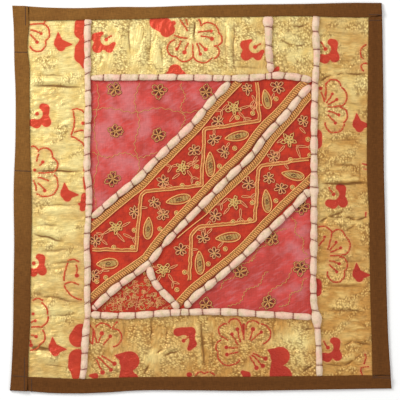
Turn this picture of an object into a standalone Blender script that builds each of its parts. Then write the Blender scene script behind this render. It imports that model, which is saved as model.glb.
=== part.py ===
"""Patchwork cushion cover, unfilled and lying flat on its back panel, front up.

The front is ten silk patches with their edges butted along seams. A padded cord is couched over each inner seam,
flat braids lie beside the diagonal cords, and four brown strips border the whole. All tables are in millimetres
from the middle of the cover, +X to the right and +Y up the front; heights are above the surface it lies on.
The origin is under the middle of the cover's box.
"""

from collections import namedtuple

import bpy
import numpy as np
from mathutils.geometry import delaunay_2d_cdt

MM = 0.001

# Driving dimensions
GAP = 0.3
BACK_THICK = 1.2
PATCH_THICK = 1.3
BORDER_THICK = 1.2
BRAID_THICK = 1.0
CORD_WIDTH = 7.4
CORD_HEIGHT = 4.6
TIE_PITCH = 17.8
TIE_CINCH = 0.74
CORD_END = 0.6
BRAID_WIDTH = 6.4
PATCH_TOP = BACK_THICK + GAP + PATCH_THICK
TRIM_FOOT = PATCH_TOP + GAP
BORDER_LAP_TOP = TRIM_FOOT + BORDER_THICK
BORDER_EDGE_TOP = BACK_THICK + GAP + BORDER_THICK

# Mesh steps
EDGE_STEP = 13.0
LATTICE = 15.0
FOLD_STEP = 9.0
CORD_RINGS_PER_TIE = 3
CORD_STEP = 3.0
# How far inner points keep from the rim and from each other
FOLD_CLEAR = 3.0
FOLD_SPACING = 4.5
LATTICE_CLEAR = 6.0
LATTICE_SPACING = 8.0

# How a patch lies: flat at its rim, then free to swell by its slack and its folds
RIM = 4.8
BRAIDED_RIM = 14.5
FADE = 9.0
SLACK_REACH = 32.0

GOLD = "#D9C27A"
DEEP_GOLD = "#CAA25B"
PINK = "#D24A52"
RED = "#C62A20"
ZARI = "#B8552B"
BROWN = "#7D5326"
DEEP_BROWN = "#6C4421"
CORD_WHITE = "#E3CFBD"
BRAID_GOLD = "#D09A58"

Fold = namedtuple("Fold", "x0 y0 x1 y1 width height")
Patch = namedtuple("Patch", "name seams rim slack colour")
Cord = namedtuple("Cord", "name seams trim_start trim_end")
Puff = namedtuple("Puff", "cord at reach width")
Braid = namedtuple("Braid", "name cord side start end offsets")

# The cover's edge, each side with its own slight wave, as (x, y)
LEFT_EDGE = [
    (-198.2, 201.9), (-196.8, 181), (-195.9, 140), (-194.8, 113), (-194.9, 61), (-196.7, 8),
    (-196.2, -50), (-196.9, -97), (-197.8, -155), (-199.4, -187), (-200.6, -202.7),
]
TOP_EDGE = [
    (-181.2, 201.1), (-163.6, 200), (-129, 199.3), (-85, 200.5), (-53, 200.4), (-17, 201.7),
    (52, 203.1), (104, 203.6), (167, 204.8), (190, 204.6),
]
RIGHT_EDGE = [
    (190.6, 191.7), (191.8, 113), (192.5, 24), (194, -34), (195.5, -107), (197.1, -149), (199.2, -181),
    (199.6, -187.2),
]
BOTTOM_EDGE = [
    (-182, -203.2), (-166.8, -204.6), (-95.4, -204.5), (-74, -203), (-11, -202.5), (41, -203),
    (104, -202.1), (167, -201), (200.5, -200.6),
]

# Where each border strip ends on the patches, as (x, y)
LEFT_INNER = [
    (-181.5, 201.2), (-180.4, 187), (-181.8, 153), (-180.1, 140), (-179.9, 113), (-179.4, 61), (-177.8, 8),
    (-177.6, -34), (-178.4, -65), (-179.6, -139), (-180.7, -160), (-181.4, -188), (-182.3, -203.3),
]
TOP_INNER = [
    (-180.1, 186), (-158, 185.9), (-116, 186.8), (-64, 187.5), (-22, 189.2), (52, 189.8), (104, 190.5),
    (151, 189.5), (175.5, 189.5), (190.4, 192),
]
RIGHT_INNER = [
    (176.1, 189.1), (175.7, 145), (175.7, -2), (176.7, -18), (177.1, -55), (178, -107), (179.7, -160),
    (180.1, -186.2),
]
BOTTOM_INNER = [
    (-181.1, -188), (-158, -189), (-129, -190.2), (-95, -189), (-11, -188), (41, -188), (94, -187.4),
    (136, -187), (180, -186.6), (199.2, -187.5),
]

# Seams between patches, each from one junction to the next, as (x, y). Those named rim run under the borders.
SEAMS = {
    "rim_left": [
        (-183.5, 189.2), (-184, 153), (-183, 110), (-181, 8), (-180.8, -50), (-182.8, -139), (-184.3, -191),
    ],
    "rim_top_a": [(-183.5, 189.2), (-118.2, 189.9)],
    "rim_top_b": [(-118.2, 189.9), (-64, 190.6), (-22, 192.2), (70.1, 192.9)],
    "rim_top_c": [(70.1, 192.9), (121.5, 193.2)],
    "rim_top_d": [(121.5, 193.2), (151, 192.6), (178.8, 192.5)],
    "rim_right": [
        (178.8, 192.5), (178.7, 145), (178.7, -2), (179.9, -30), (181, -107), (182.7, -160), (183, -189.6),
    ],
    "rim_bottom_a": [(-184.3, -191), (-125.5, -193.1)],
    "rim_bottom_b": [(-125.5, -193.1), (-95, -192), (-11, -191), (94, -190.4), (124.7, -190.1)],
    "rim_bottom_c": [(124.7, -190.1), (183, -189.6)],
    "left_a": [(-118.2, 189.9), (-119.1, 176), (-119, 150), (-118.9, 125.8)],
    "left_b": [(-118.9, 125.8), (-118.4, 95), (-119.4, 50), (-119.5, 34), (-117.4, 3), (-118.4, -24.5)],
    "left_c": [(-118.4, -24.5), (-119.9, -44), (-118.8, -81), (-119.5, -99), (-118.8, -122.5)],
    "left_d": [(-118.8, -122.5), (-120.2, -134), (-122.1, -165), (-123, -180), (-125.5, -193.1)],
    "right_a": [(121.5, 193.2), (120.4, 181), (121.6, 147), (119.9, 122.5)],
    "right_b": [(119.9, 122.5), (118.9, 73), (118.8, 12.5)],
    "right_c": [(118.8, 12.5), (118.7, -18), (118.5, -55), (118, -92), (118.8, -111), (121.5, -126)],
    "right_d": [(121.5, -126), (123.5, -155), (124.7, -190.1)],
    "top_a": [(-118.9, 125.8), (-95, 126.1), (-38, 126.5), (4, 125.9), (34.5, 125.5)],
    "top_b": [(34.5, 125.5), (52, 125.8), (73, 127.8)],
    "top_c": [(73, 127.8), (81, 128.3), (96, 127.1), (110, 124.8), (119.9, 122.5)],
    "short": [(70.1, 192.9), (70.9, 171), (71.6, 150), (73.1, 136), (73, 127.8)],
    "bottom_a": [(-118.8, -122.5), (-106, -123.4), (-69, -123.5), (-43, -121.6), (-20.8, -120.2)],
    "bottom_b": [(-20.8, -120.2), (31, -120), (67, -122.6), (88, -123.7), (121.5, -126)],
    "diagonal_upper": [
        (-118.4, -24.5), (-95.1, -4), (-79.6, 8.8), (-65.3, 20.5), (-53.2, 33.6), (-28.6, 58), (-2.2, 84.7),
        (8.9, 98.8), (20.9, 111.5), (34.5, 125.5),
    ],
    "diagonal_middle": [
        (119.9, 122.5), (103.8, 105.8), (93.1, 91.8), (66, 62), (55.3, 46.9), (27.5, 19.4), (-1.2, -10.3),
        (-27.2, -36.8), (-40.9, -52.2), (-53.2, -67.5),
    ],
    "diagonal_tail": [(-53.2, -67.5), (-62.6, -75.2), (-90.8, -96), (-104.1, -108), (-118.8, -122.5)],
    "diagonal_short": [
        (-53.2, -67.5), (-53, -79), (-49.5, -87), (-42.2, -96.6), (-29.8, -109.4), (-20.8, -120.2),
    ],
    "diagonal_lower": [
        (118.8, 12.5), (104.9, -1.9), (94.2, -13.3), (66.4, -39.5), (52.8, -53.6), (23.4, -79.9), (10, -90.9),
        (-3.4, -101.3), (-20.8, -120.2),
    ],
}

# Patches and the seams round them; a minus takes a seam from its far end
PATCHES = [
    Patch("patch_gold_left", "-rim_left rim_top_a left_a left_b left_c left_d -rim_bottom_a", RIM, 0.7, GOLD),
    Patch("patch_gold_top", "left_a top_a top_b -short -rim_top_b", RIM, 0.7, GOLD),
    Patch("patch_gold_corner", "short top_c -right_a -rim_top_c", RIM, 0.6, GOLD),
    Patch(
        "patch_gold_right", "right_a right_b right_c right_d rim_bottom_c -rim_right -rim_top_d",
        RIM, 0.7, DEEP_GOLD,
    ),
    Patch("patch_gold_bottom", "left_d rim_bottom_b -right_d -bottom_b -bottom_a", RIM, 0.7, DEEP_GOLD),
    Patch("patch_pink_upper", "left_b diagonal_upper -top_a", RIM, 0.6, PINK),
    Patch(
        "patch_band_upper", "left_c -diagonal_tail -diagonal_middle -top_c -top_b -diagonal_upper",
        BRAIDED_RIM, 0.5, RED,
    ),
    Patch("patch_band_lower", "diagonal_middle diagonal_short -diagonal_lower -right_b", BRAIDED_RIM, 0.5, RED),
    Patch("patch_zari_triangle", "diagonal_tail bottom_a -diagonal_short", RIM, 0.4, ZARI),
    Patch("patch_pink_lower", "diagonal_lower bottom_b -right_c", RIM, 0.6, PINK),
]

# Soft ridges in the patches: from, to, how wide and how high
FOLDS = {
    "patch_gold_left": [
        Fold(-174, 122.5, -127, 121.5, 5, 2.0),
        Fold(-170, 55, -130, 56, 5, 1.2),
        Fold(-153, 30, -126, 28, 5, 1.8),
        Fold(-166, -14, -128, -12, 6, 1.4),
        Fold(-172, -37, -143, -47, 6, 1.8),
        Fold(-165, -118, -130, -121, 8, 1.2),
        Fold(-172, -159, -148, -161, 6, 1.6),
    ],
    "patch_gold_top": [
        Fold(-64, 181, -62, 136, 5, 1.2),
        Fold(-45, 182, -46, 139, 5, 1.4),
        Fold(31, 183, 32, 133, 5, 2.0),
    ],
    "patch_gold_corner": [Fold(83, 162, 111, 160, 5, 1.2)],
    "patch_gold_right": [
        Fold(128, 124, 151, 134, 5, 1.7),
        Fold(151, 134, 171, 130, 5, 1.7),
        Fold(128, 16, 171, 15, 5, 2.2),
        Fold(128, -20, 171, -24, 6, 1.8),
        Fold(130, -91, 171, -93, 6, 1.2),
        Fold(132, -117, 172, -119, 6, 1.4),
        Fold(135, -153, 172, -155, 6, 1.4),
    ],
    "patch_gold_bottom": [
        Fold(-61, -178, -20, -162, 5, 2.2),
        Fold(-52, -129, -53, -152, 5, 1.2),
        Fold(1, -128, 3, -180, 5, 1.8),
        Fold(100, -158, 116, -173, 5, 1.6),
    ],
    "patch_pink_upper": [Fold(-88, 96, -52, 60, 10, 0.8)],
    "patch_pink_lower": [Fold(64, -74, 98, -46, 9, 0.8)],
}

# Cords couched over the seams, each cut short of what it runs into
CORDS = [
    Cord("cord_left", "left_a left_b left_c left_d", 3.8, 3.9),
    Cord("cord_right", "right_a right_b right_c right_d", 3.6, 3.9),
    Cord("cord_short", "short", 3.7, 4.6),
    Cord("cord_top", "top_a top_b top_c", 4.4, 4.6),
    Cord("cord_bottom", "bottom_a bottom_b", 4.4, 8.6),
    Cord("cord_diagonal_upper", "diagonal_upper", 8.0, 9.2),
    Cord("cord_diagonal_middle", "diagonal_middle diagonal_tail", 9.4, 11.4),
    Cord("cord_diagonal_short", "diagonal_short", 8.2, 7.4),
    Cord("cord_diagonal_lower", "diagonal_lower", 9.4, 9.6),
]

# Places where the padding bunches into a knot: the cord, how far along it, over what length, and how much wider
PUFFS = [
    Puff("cord_right", 321, 16, 1.6),
    Puff("cord_diagonal_lower", 5, 10, 1.2),
]

# Braids beside the cords: side +1 lies left of the cord's run, -1 right of it. Start and end are places along the
# cord, past its ends where negative or long; offsets are the distances between the two centre lines on the way.
BRAIDS = [
    Braid("braid_upper_a", "cord_diagonal_upper", -1, -6.5, 196, (8.0, 8.6, 8.2, 7.3, 7.3)),
    Braid("braid_upper_b", "cord_diagonal_middle", -1, 3, 312, (7.4, 9.6, 9.6, 9.4, 7.6, 10.2)),
    Braid("braid_lower_a", "cord_diagonal_middle", 1, 8.5, 174, (7.3, 7.3, 8.6, 8.8, 7.4)),
    Braid("braid_lower_b", "cord_diagonal_lower", -1, -7.5, 170, (8.6, 10.8, 8.8, 8.2, 9.2, 8.9)),
]

# The outline of a cord across its run: (side, up), with a flat foot and a rounded back
CORD_SECTION = np.array([(-0.75, 0), (0.75, 0), (1, 0.5), (0.5, 1), (-0.5, 1), (-1, 0.5)])
BRAID_SECTION = np.array([(-1, 0), (1, 0), (0.85, 1), (-0.85, 1)])
# A border across its width: the share of the way out, and how far its top has come down from lap to edge
BORDER_PROFILE = [(0, 0), (0.28, 0), (0.62, 0.8), (1, 1)]


def clear_scene():
    for obj in list(bpy.data.objects):
        bpy.data.objects.remove(obj)


def smooth_line(points, step):
    """Points about step apart on a smooth curve through the given ones."""
    knots = np.array(points, float)
    along = np.concatenate([[0], np.cumsum(np.linalg.norm(np.diff(knots, axis=0), axis=1))])
    slope = np.gradient(knots, along, axis=0)
    at = np.linspace(0, along[-1], max(2, round(along[-1] / step) + 1))
    left = np.clip(np.searchsorted(along, at, "right") - 1, 0, len(knots) - 2)
    span = (along[left + 1] - along[left])[:, None]
    u = ((at - along[left])[:, None]) / span
    start = knots[left] * (1 + 2 * u) * (1 - u) ** 2 + knots[left + 1] * u**2 * (3 - 2 * u)
    bend = slope[left] * span * u * (1 - u) ** 2 - slope[left + 1] * span * u**2 * (1 - u)
    return start + bend


def seam_run(names, step):
    """The named seams one after the other, as one line without doubled junctions."""
    runs = []
    for name in names.split():
        line = smooth_line(SEAMS[name.lstrip("-")], step)
        runs.append(line[::-1] if name.startswith("-") else line)
    kept = [runs[0]] + [run[1:] for run in runs[1:]]
    return np.concatenate(kept)


def distance(points, outline):
    """How far each point is from a closed outline."""
    a, b = outline, np.roll(outline, -1, axis=0)
    d = b - a
    rel = points[:, None] - a
    t = np.clip((rel * d).sum(2) / (d * d).sum(1), 0, 1)
    return np.linalg.norm(rel - t[..., None] * d, axis=2).min(1)


def inside(points, outline):
    """Whether each point lies in a closed outline, by counting the sides to its right."""
    a, b = outline, np.roll(outline, -1, axis=0)
    x, y = points[:, :1], points[:, 1:]
    crosses = (a[:, 1] > y) != (b[:, 1] > y)
    level = np.where(b[:, 1] == a[:, 1], 1, b[:, 1] - a[:, 1])
    return (crosses & (x < a[:, 0] + (y - a[:, 1]) / level * (b[:, 0] - a[:, 0]))).sum(1) % 2 == 1


def counter_clockwise(outline):
    x, y = outline.T
    turned = (x * np.roll(y, -1) - y * np.roll(x, -1)).sum() < 0
    return outline[::-1] if turned else outline


def inset(outline, by):
    """A counter-clockwise outline moved inwards; points that a sharp corner would double back are dropped."""
    ahead = np.roll(outline, -1, axis=0) - outline
    normal = np.stack([-ahead[:, 1], ahead[:, 0]], axis=1)
    normal /= np.linalg.norm(normal, axis=1)[:, None]
    before = np.roll(normal, 1, axis=0)
    moved = outline + by * (normal + before) / (1 + (normal * before).sum(1))[:, None]
    keep = inside(moved, outline) & (distance(moved, outline) > 0.97 * by)
    return moved[keep]


def fold_points(folds):
    """Rows of points on each fold's ridge and along both its feet."""
    rows = [np.zeros((0, 2))]
    for fold in folds:
        a, b = np.array([fold.x0, fold.y0]), np.array([fold.x1, fold.y1])
        side = np.array([a[1] - b[1], b[0] - a[0]]) / np.linalg.norm(b - a)
        count = max(3, round(np.linalg.norm(b - a) / FOLD_STEP) + 1)
        line = a + np.linspace(0, 1, count)[:, None] * (b - a)
        rows += [line, line + side * 1.5 * fold.width, line - side * 1.5 * fold.width]
    return np.concatenate(rows)


def spaced(points, others, least):
    """The points that keep a distance from the others and from those kept before them."""
    kept = list(others)
    for p in points:
        if np.linalg.norm(np.array(kept) - p, axis=1).min() >= least:
            kept.append(p)
    return np.array(kept[len(others):]).reshape(-1, 2)


def lattice(outline):
    """A triangular lattice over the outline's box."""
    low, high = outline.min(0), outline.max(0)
    columns = np.arange(low[0], high[0], LATTICE)
    rows = np.arange(low[1], high[1], LATTICE * 0.866)
    x, y = np.meshgrid(columns, rows)
    x[1::2] += LATTICE / 2
    return np.stack([x.ravel(), y.ravel()], axis=1)


def patch_height(points, outline, rim, slack, folds):
    """The top of a patch: level at the rim, and past it the slack's swell and each fold's soft ridge."""
    free = distance(points, outline) - rim
    swell = slack * np.clip(free / SLACK_REACH, 0, 1) ** 0.7
    for fold in folds:
        a, run = np.array([fold.x0, fold.y0]), np.array([fold.x1 - fold.x0, fold.y1 - fold.y0])
        t = np.clip(((points - a) @ run) / (run @ run), 0, 1)
        away = np.linalg.norm(points - a - t[:, None] * run, axis=1)
        swell = swell + fold.height * np.exp(-((away / fold.width) ** 2)) * np.sqrt(np.sin(np.pi * t))
    ease = np.clip(free / FADE, 0, 1)
    return PATCH_TOP + swell * ease**2 * (3 - 2 * ease)


def new_object(name, verts, faces, colour):
    mesh = bpy.data.meshes.new(name)
    mesh.from_pydata((np.asarray(verts) * MM).tolist(), [], faces)
    mesh.update()
    mesh.materials.append(cloth_material(name, colour))
    obj = bpy.data.objects.new(name, mesh)
    obj.parent = bpy.data.objects["cover_middle"]
    bpy.data.collections["cushion_cover"].objects.link(obj)
    return obj


def thicken(obj, thick):
    """Gives an upward-facing sheet its thickness, downwards from its top."""
    solid = obj.modifiers.new("thickness", "SOLIDIFY")
    solid.thickness = thick * MM
    solid.offset = -1


def linear(hex_colour):
    """The linear colour of an sRGB hex value."""
    share = [int(hex_colour[i:i + 2], 16) / 255 for i in (1, 3, 5)]
    return [s / 12.92 if s <= 0.04045 else ((s + 0.055) / 1.055) ** 2.4 for s in share] + [1]


def cloth_material(name, colour):
    material = bpy.data.materials.new(name)
    material.use_nodes = True
    surface = material.node_tree.nodes["Principled BSDF"]
    surface.inputs["Base Color"].default_value = linear(colour)
    surface.inputs["Roughness"].default_value = 0.6 if "gold" in name or "braid" in name else 0.85
    surface.inputs["Metallic"].default_value = 0.25 if "gold" in name or "braid" in name else 0
    return material


def sheet(name, rings, inner, height, thick, colour):
    """A sheet over its first ring, with more rings and points inside it, raised by a height function."""
    edges, first = [], 0
    for ring in rings:
        edges += [(first + i, first + (i + 1) % len(ring)) for i in range(len(ring))]
        first += len(ring)
    points, outline = np.concatenate([*rings, inner]), rings[0]
    flat, _, faces, *_ = delaunay_2d_cdt(points.tolist(), edges, [], 0, 1e-5, False)
    flat = np.array(flat)
    within = inside(flat[np.array(faces)].mean(1), outline)
    faces = [tuple(face) for face, keep in zip(faces, within) if keep]
    obj = new_object(name, np.column_stack([flat, height(flat)]), faces, colour)
    thicken(obj, thick)
    return obj


def patch(row):
    outline = inset(counter_clockwise(seam_run(row.seams, EDGE_STEP)[:-1]), GAP / 2)
    folds = FOLDS.get(row.name, [])
    rim = inset(outline, row.rim)
    ridges = fold_points(folds)
    ridges = spaced(ridges[distance(ridges, outline) > row.rim + FOLD_CLEAR], rim, FOLD_SPACING)
    grid = lattice(outline)
    grid = grid[inside(grid, outline)]
    grid = grid[distance(grid, outline) > row.rim + LATTICE_CLEAR]
    grid = spaced(grid, np.concatenate([rim, ridges]), LATTICE_SPACING)
    sheet(
        row.name, [outline, rim], np.concatenate([ridges, grid]),
        lambda p: patch_height(p, outline, row.rim, row.slack, folds), PATCH_THICK, row.colour,
    )


def cover_outline():
    sides = [LEFT_EDGE[::-1], TOP_EDGE, RIGHT_EDGE, BOTTOM_EDGE[::-1]]
    return counter_clockwise(np.concatenate([smooth_line(side, EDGE_STEP) for side in sides]))


def back_panel():
    inner = np.zeros((0, 2))
    sheet("back_panel", [cover_outline()], inner, lambda p: np.full(len(p), BACK_THICK), BACK_THICK, DEEP_BROWN)


def border(name, inner, outer, colour):
    """A strip between two lines, lapped over the patches on one side and let down to the back on the other."""
    count = round(np.linalg.norm(np.diff(np.array(inner), axis=0), axis=1).sum() / EDGE_STEP) + 1
    near, far = (resampled(line, count) for line in (inner, outer))
    rows = []
    for share, fall in BORDER_PROFILE:
        top = BORDER_LAP_TOP + fall * (BORDER_EDGE_TOP - BORDER_LAP_TOP)
        rows.append(np.column_stack([near + share * (far - near), np.full(count, top)]))
    verts = np.concatenate(rows)
    faces = [
        (r * count + i, r * count + i + 1, (r + 1) * count + i + 1, (r + 1) * count + i)
        for r in range(len(rows) - 1)
        for i in range(count - 1)
    ]
    a, b, c = (verts[faces[0][i]] for i in range(3))
    if np.cross(b - a, c - a)[2] < 0:
        faces = [face[::-1] for face in faces]
    thicken(new_object(name, verts, faces, colour), BORDER_THICK)


def resampled(line, count):
    """The smooth curve through a line's points, as count points spread evenly."""
    fine = smooth_line(line, 1)
    at = np.linspace(0, len(fine) - 1, count)
    return np.stack([np.interp(at, np.arange(len(fine)), fine[:, k]) for k in range(2)], axis=1)


class Run:
    """A line read by distance along it, carried on straight past both ends."""

    def __init__(self, line):
        self.line = line
        self.along = np.concatenate([[0], np.cumsum(np.linalg.norm(np.diff(line, axis=0), axis=1))])
        self.length = self.along[-1]

    def at(self, s):
        """Points and directions at the distances s."""
        ahead, behind = self.place(s + CORD_STEP / 2), self.place(s - CORD_STEP / 2)
        direction = (ahead - behind) / np.linalg.norm(ahead - behind, axis=1)[:, None]
        return self.place(s), direction

    def place(self, s):
        inner = np.clip(s, 0, self.length)
        point = np.stack([np.interp(inner, self.along, self.line[:, k]) for k in range(2)], axis=1)
        first, last = self.line[1] - self.line[0], self.line[-1] - self.line[-2]
        first, last = first / np.linalg.norm(first), last / np.linalg.norm(last)
        return point + np.minimum(s, 0)[:, None] * first + np.maximum(s - self.length, 0)[:, None] * last


def cord_run(cord):
    """The cord's centre line, from where it starts to where it ends."""
    whole = Run(seam_run(cord.seams, CORD_STEP))
    s = np.linspace(cord.trim_start, whole.length - cord.trim_end, round(whole.length / CORD_STEP))
    return Run(whole.place(s))


def loft(name, points, direction, half_width, tall, section, colour):
    """A section carried along a line on its flat foot, with its own half width and height at each point."""
    across = np.column_stack([-direction[:, 1], direction[:, 0]])
    side = section[None, :, 0] * half_width[:, None]
    flat = points[:, None, :] + side[..., None] * across[:, None, :]
    up = TRIM_FOOT + section[None, :, 1] * tall[:, None]
    verts = np.concatenate([flat, up[..., None]], axis=2).reshape(-1, 3)
    n, m = len(points), len(section)
    faces = [
        ((r + 1) * m + (i + 1) % m, (r + 1) * m + i, r * m + i, r * m + (i + 1) % m)
        for r in range(n - 1)
        for i in range(m)
    ]
    faces += [tuple(range(m))[::-1], tuple(range((n - 1) * m, n * m))]
    obj = new_object(name, verts, faces, colour)
    obj.data.shade_smooth()


def cord(row, run):
    """A padded cord that swells between its ties, narrows at both ends and bunches at its knots."""
    ties = max(2, round(run.length / TIE_PITCH))
    phase = np.arange(ties * CORD_RINGS_PER_TIE + 1) / CORD_RINGS_PER_TIE
    s = phase / ties * run.length
    fullness = TIE_CINCH + (1 - TIE_CINCH) * np.abs(np.sin(np.pi * phase)) ** 0.6
    fullness[[0, -1]] = CORD_END
    spread = np.ones(len(s))
    for puff in PUFFS:
        if puff.cord == row.name:
            spread += (puff.width - 1) * np.exp(-(((s - puff.at) / (puff.reach / 2)) ** 2))
    points, direction = run.at(s)
    half_width, tall = CORD_WIDTH / 2 * fullness * spread, CORD_HEIGHT * fullness * spread**0.3
    loft(row.name, points, direction, half_width, tall, CORD_SECTION, CORD_WHITE)


def braid(row, run):
    """A flat braid that keeps beside its cord."""
    s = np.arange(row.start, row.end + EDGE_STEP / 2, EDGE_STEP)
    s[-1] = row.end
    points, direction = run.at(s)
    away = np.interp(s, np.linspace(row.start, row.end, len(row.offsets)), row.offsets)
    points = points + row.side * away[:, None] * np.column_stack([-direction[:, 1], direction[:, 0]])
    half_width, tall = np.full(len(s), BRAID_WIDTH / 2), np.full(len(s), BRAID_THICK)
    loft(row.name, points, direction, half_width, tall, BRAID_SECTION, BRAID_GOLD)


def start_collection():
    """The cover's collection, and the empty that puts the middle of the cover's box on the origin."""
    cover = bpy.data.collections.new("cushion_cover")
    bpy.context.scene.collection.children.link(cover)
    outline = cover_outline()
    middle = bpy.data.objects.new("cover_middle", None)
    middle.location[:2] = -MM * (outline.min(0) + outline.max(0)) / 2
    cover.objects.link(middle)


def main():
    clear_scene()
    start_collection()
    back_panel()
    for row in PATCHES:
        patch(row)
    border("border_left", LEFT_INNER, LEFT_EDGE, BROWN)
    border("border_top", TOP_INNER, TOP_EDGE, BROWN)
    border("border_right", RIGHT_INNER, RIGHT_EDGE, DEEP_BROWN)
    border("border_bottom", BOTTOM_INNER, BOTTOM_EDGE, DEEP_BROWN)
    runs = {row.name: cord_run(row) for row in CORDS}
    for row in CORDS:
        cord(row, runs[row.name])
    for row in BRAIDS:
        braid(row, runs[row.cord])


main()
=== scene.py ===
"""Patchwork cushion cover: brocade, silk and embroidered patches, couched cords and gold braids."""

import math

import bpy
import numpy as np
from bpy.props import FloatProperty, FloatVectorProperty, PointerProperty
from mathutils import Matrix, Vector


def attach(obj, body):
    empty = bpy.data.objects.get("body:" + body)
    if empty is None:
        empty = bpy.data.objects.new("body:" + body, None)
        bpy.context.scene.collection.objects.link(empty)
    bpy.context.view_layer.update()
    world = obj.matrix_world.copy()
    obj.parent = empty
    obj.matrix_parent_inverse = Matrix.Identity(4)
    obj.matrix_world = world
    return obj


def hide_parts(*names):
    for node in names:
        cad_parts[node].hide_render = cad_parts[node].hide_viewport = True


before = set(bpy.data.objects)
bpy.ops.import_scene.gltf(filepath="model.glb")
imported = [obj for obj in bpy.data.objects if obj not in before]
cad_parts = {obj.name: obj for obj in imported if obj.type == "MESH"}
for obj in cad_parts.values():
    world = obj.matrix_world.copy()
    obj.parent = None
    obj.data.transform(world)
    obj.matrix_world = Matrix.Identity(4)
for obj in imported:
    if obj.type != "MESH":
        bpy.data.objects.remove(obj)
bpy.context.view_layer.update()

bl_info = {
    "name": "Patchwork Cushion Cover",
    "version": (1, 0, 0),
    "blender": (4, 5, 0),
    "location": "3D View > Sidebar > Cushion Cover",
    "description": "Builds a patchwork cushion cover with couched cords, gold braids and zari embroidery",
    "category": "Add Mesh",
}

MM = 0.001

# Heights above the surface it lies on, in millimetres: the levels that the pieces are sewn at
PATCH_TOP = 2.8
TRIM_FOOT = 3.1
LAP_TOP = 4.3
EDGE_TOP = 2.7
BACK_TOP = 1.2

# How far a crease of a patch sinks at most, how far the trims cover its rim, and over how many millimetres
# from there its slack, its folds and its crinkles rise to their full height
DEEPEST = -1.3
RIM = 3.4
SLACK_RISE, FOLD_RISE, CRINKLE_RISE = 32, 7, 3

# From the middle of the cut pieces to the middle of the cover's box, in millimetres
MIDDLE = np.array([0.05, 0.445])


# Lines of the cover, as (x, y) in millimetres before MIDDLE is added

LEFT_EDGE = [
    (-198.2, 201.9), (-196.8, 181), (-195.9, 140), (-194.8, 113), (-194.9, 61), (-196.7, 8), (-196.2, -50),
    (-196.9, -97), (-197.8, -155), (-199.4, -187), (-200.6, -202.7),
]
TOP_EDGE = [
    (-181.2, 201.1), (-163.6, 200), (-129, 199.3), (-85, 200.5), (-53, 200.4), (-17, 201.7), (52, 203.1),
    (104, 203.6), (167, 204.8), (190, 204.6),
]
RIGHT_EDGE = [
    (190.6, 191.7), (191.8, 113), (192.5, 24), (194, -34), (195.5, -107), (197.1, -149), (199.2, -181),
    (199.6, -187.2),
]
BOTTOM_EDGE = [
    (-182, -203.2), (-166.8, -204.6), (-95.4, -204.5), (-74, -203), (-11, -202.5), (41, -203), (104, -202.1),
    (167, -201), (200.5, -200.6),
]
LEFT_INNER = [
    (-181.5, 201.2), (-180.4, 187), (-181.8, 153), (-180.1, 140), (-179.9, 113), (-179.4, 61), (-177.8, 8),
    (-177.6, -34), (-178.4, -65), (-179.6, -139), (-180.7, -160), (-181.4, -188), (-182.3, -203.3),
]
TOP_INNER = [
    (-180.1, 186), (-158, 185.9), (-116, 186.8), (-64, 187.5), (-22, 189.2), (52, 189.8), (104, 190.5),
    (151, 189.5), (175.5, 189.5), (190.4, 192),
]
RIGHT_INNER = [
    (176.1, 189.1), (175.7, 145), (175.7, -2), (176.7, -18), (177.1, -55), (178, -107), (179.7, -160),
    (180.1, -186.2),
]
BOTTOM_INNER = [
    (-181.1, -188), (-158, -189), (-129, -190.2), (-95, -189), (-11, -188), (41, -188), (94, -187.4),
    (136, -187), (180, -186.6), (199.2, -187.5),
]
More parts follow.
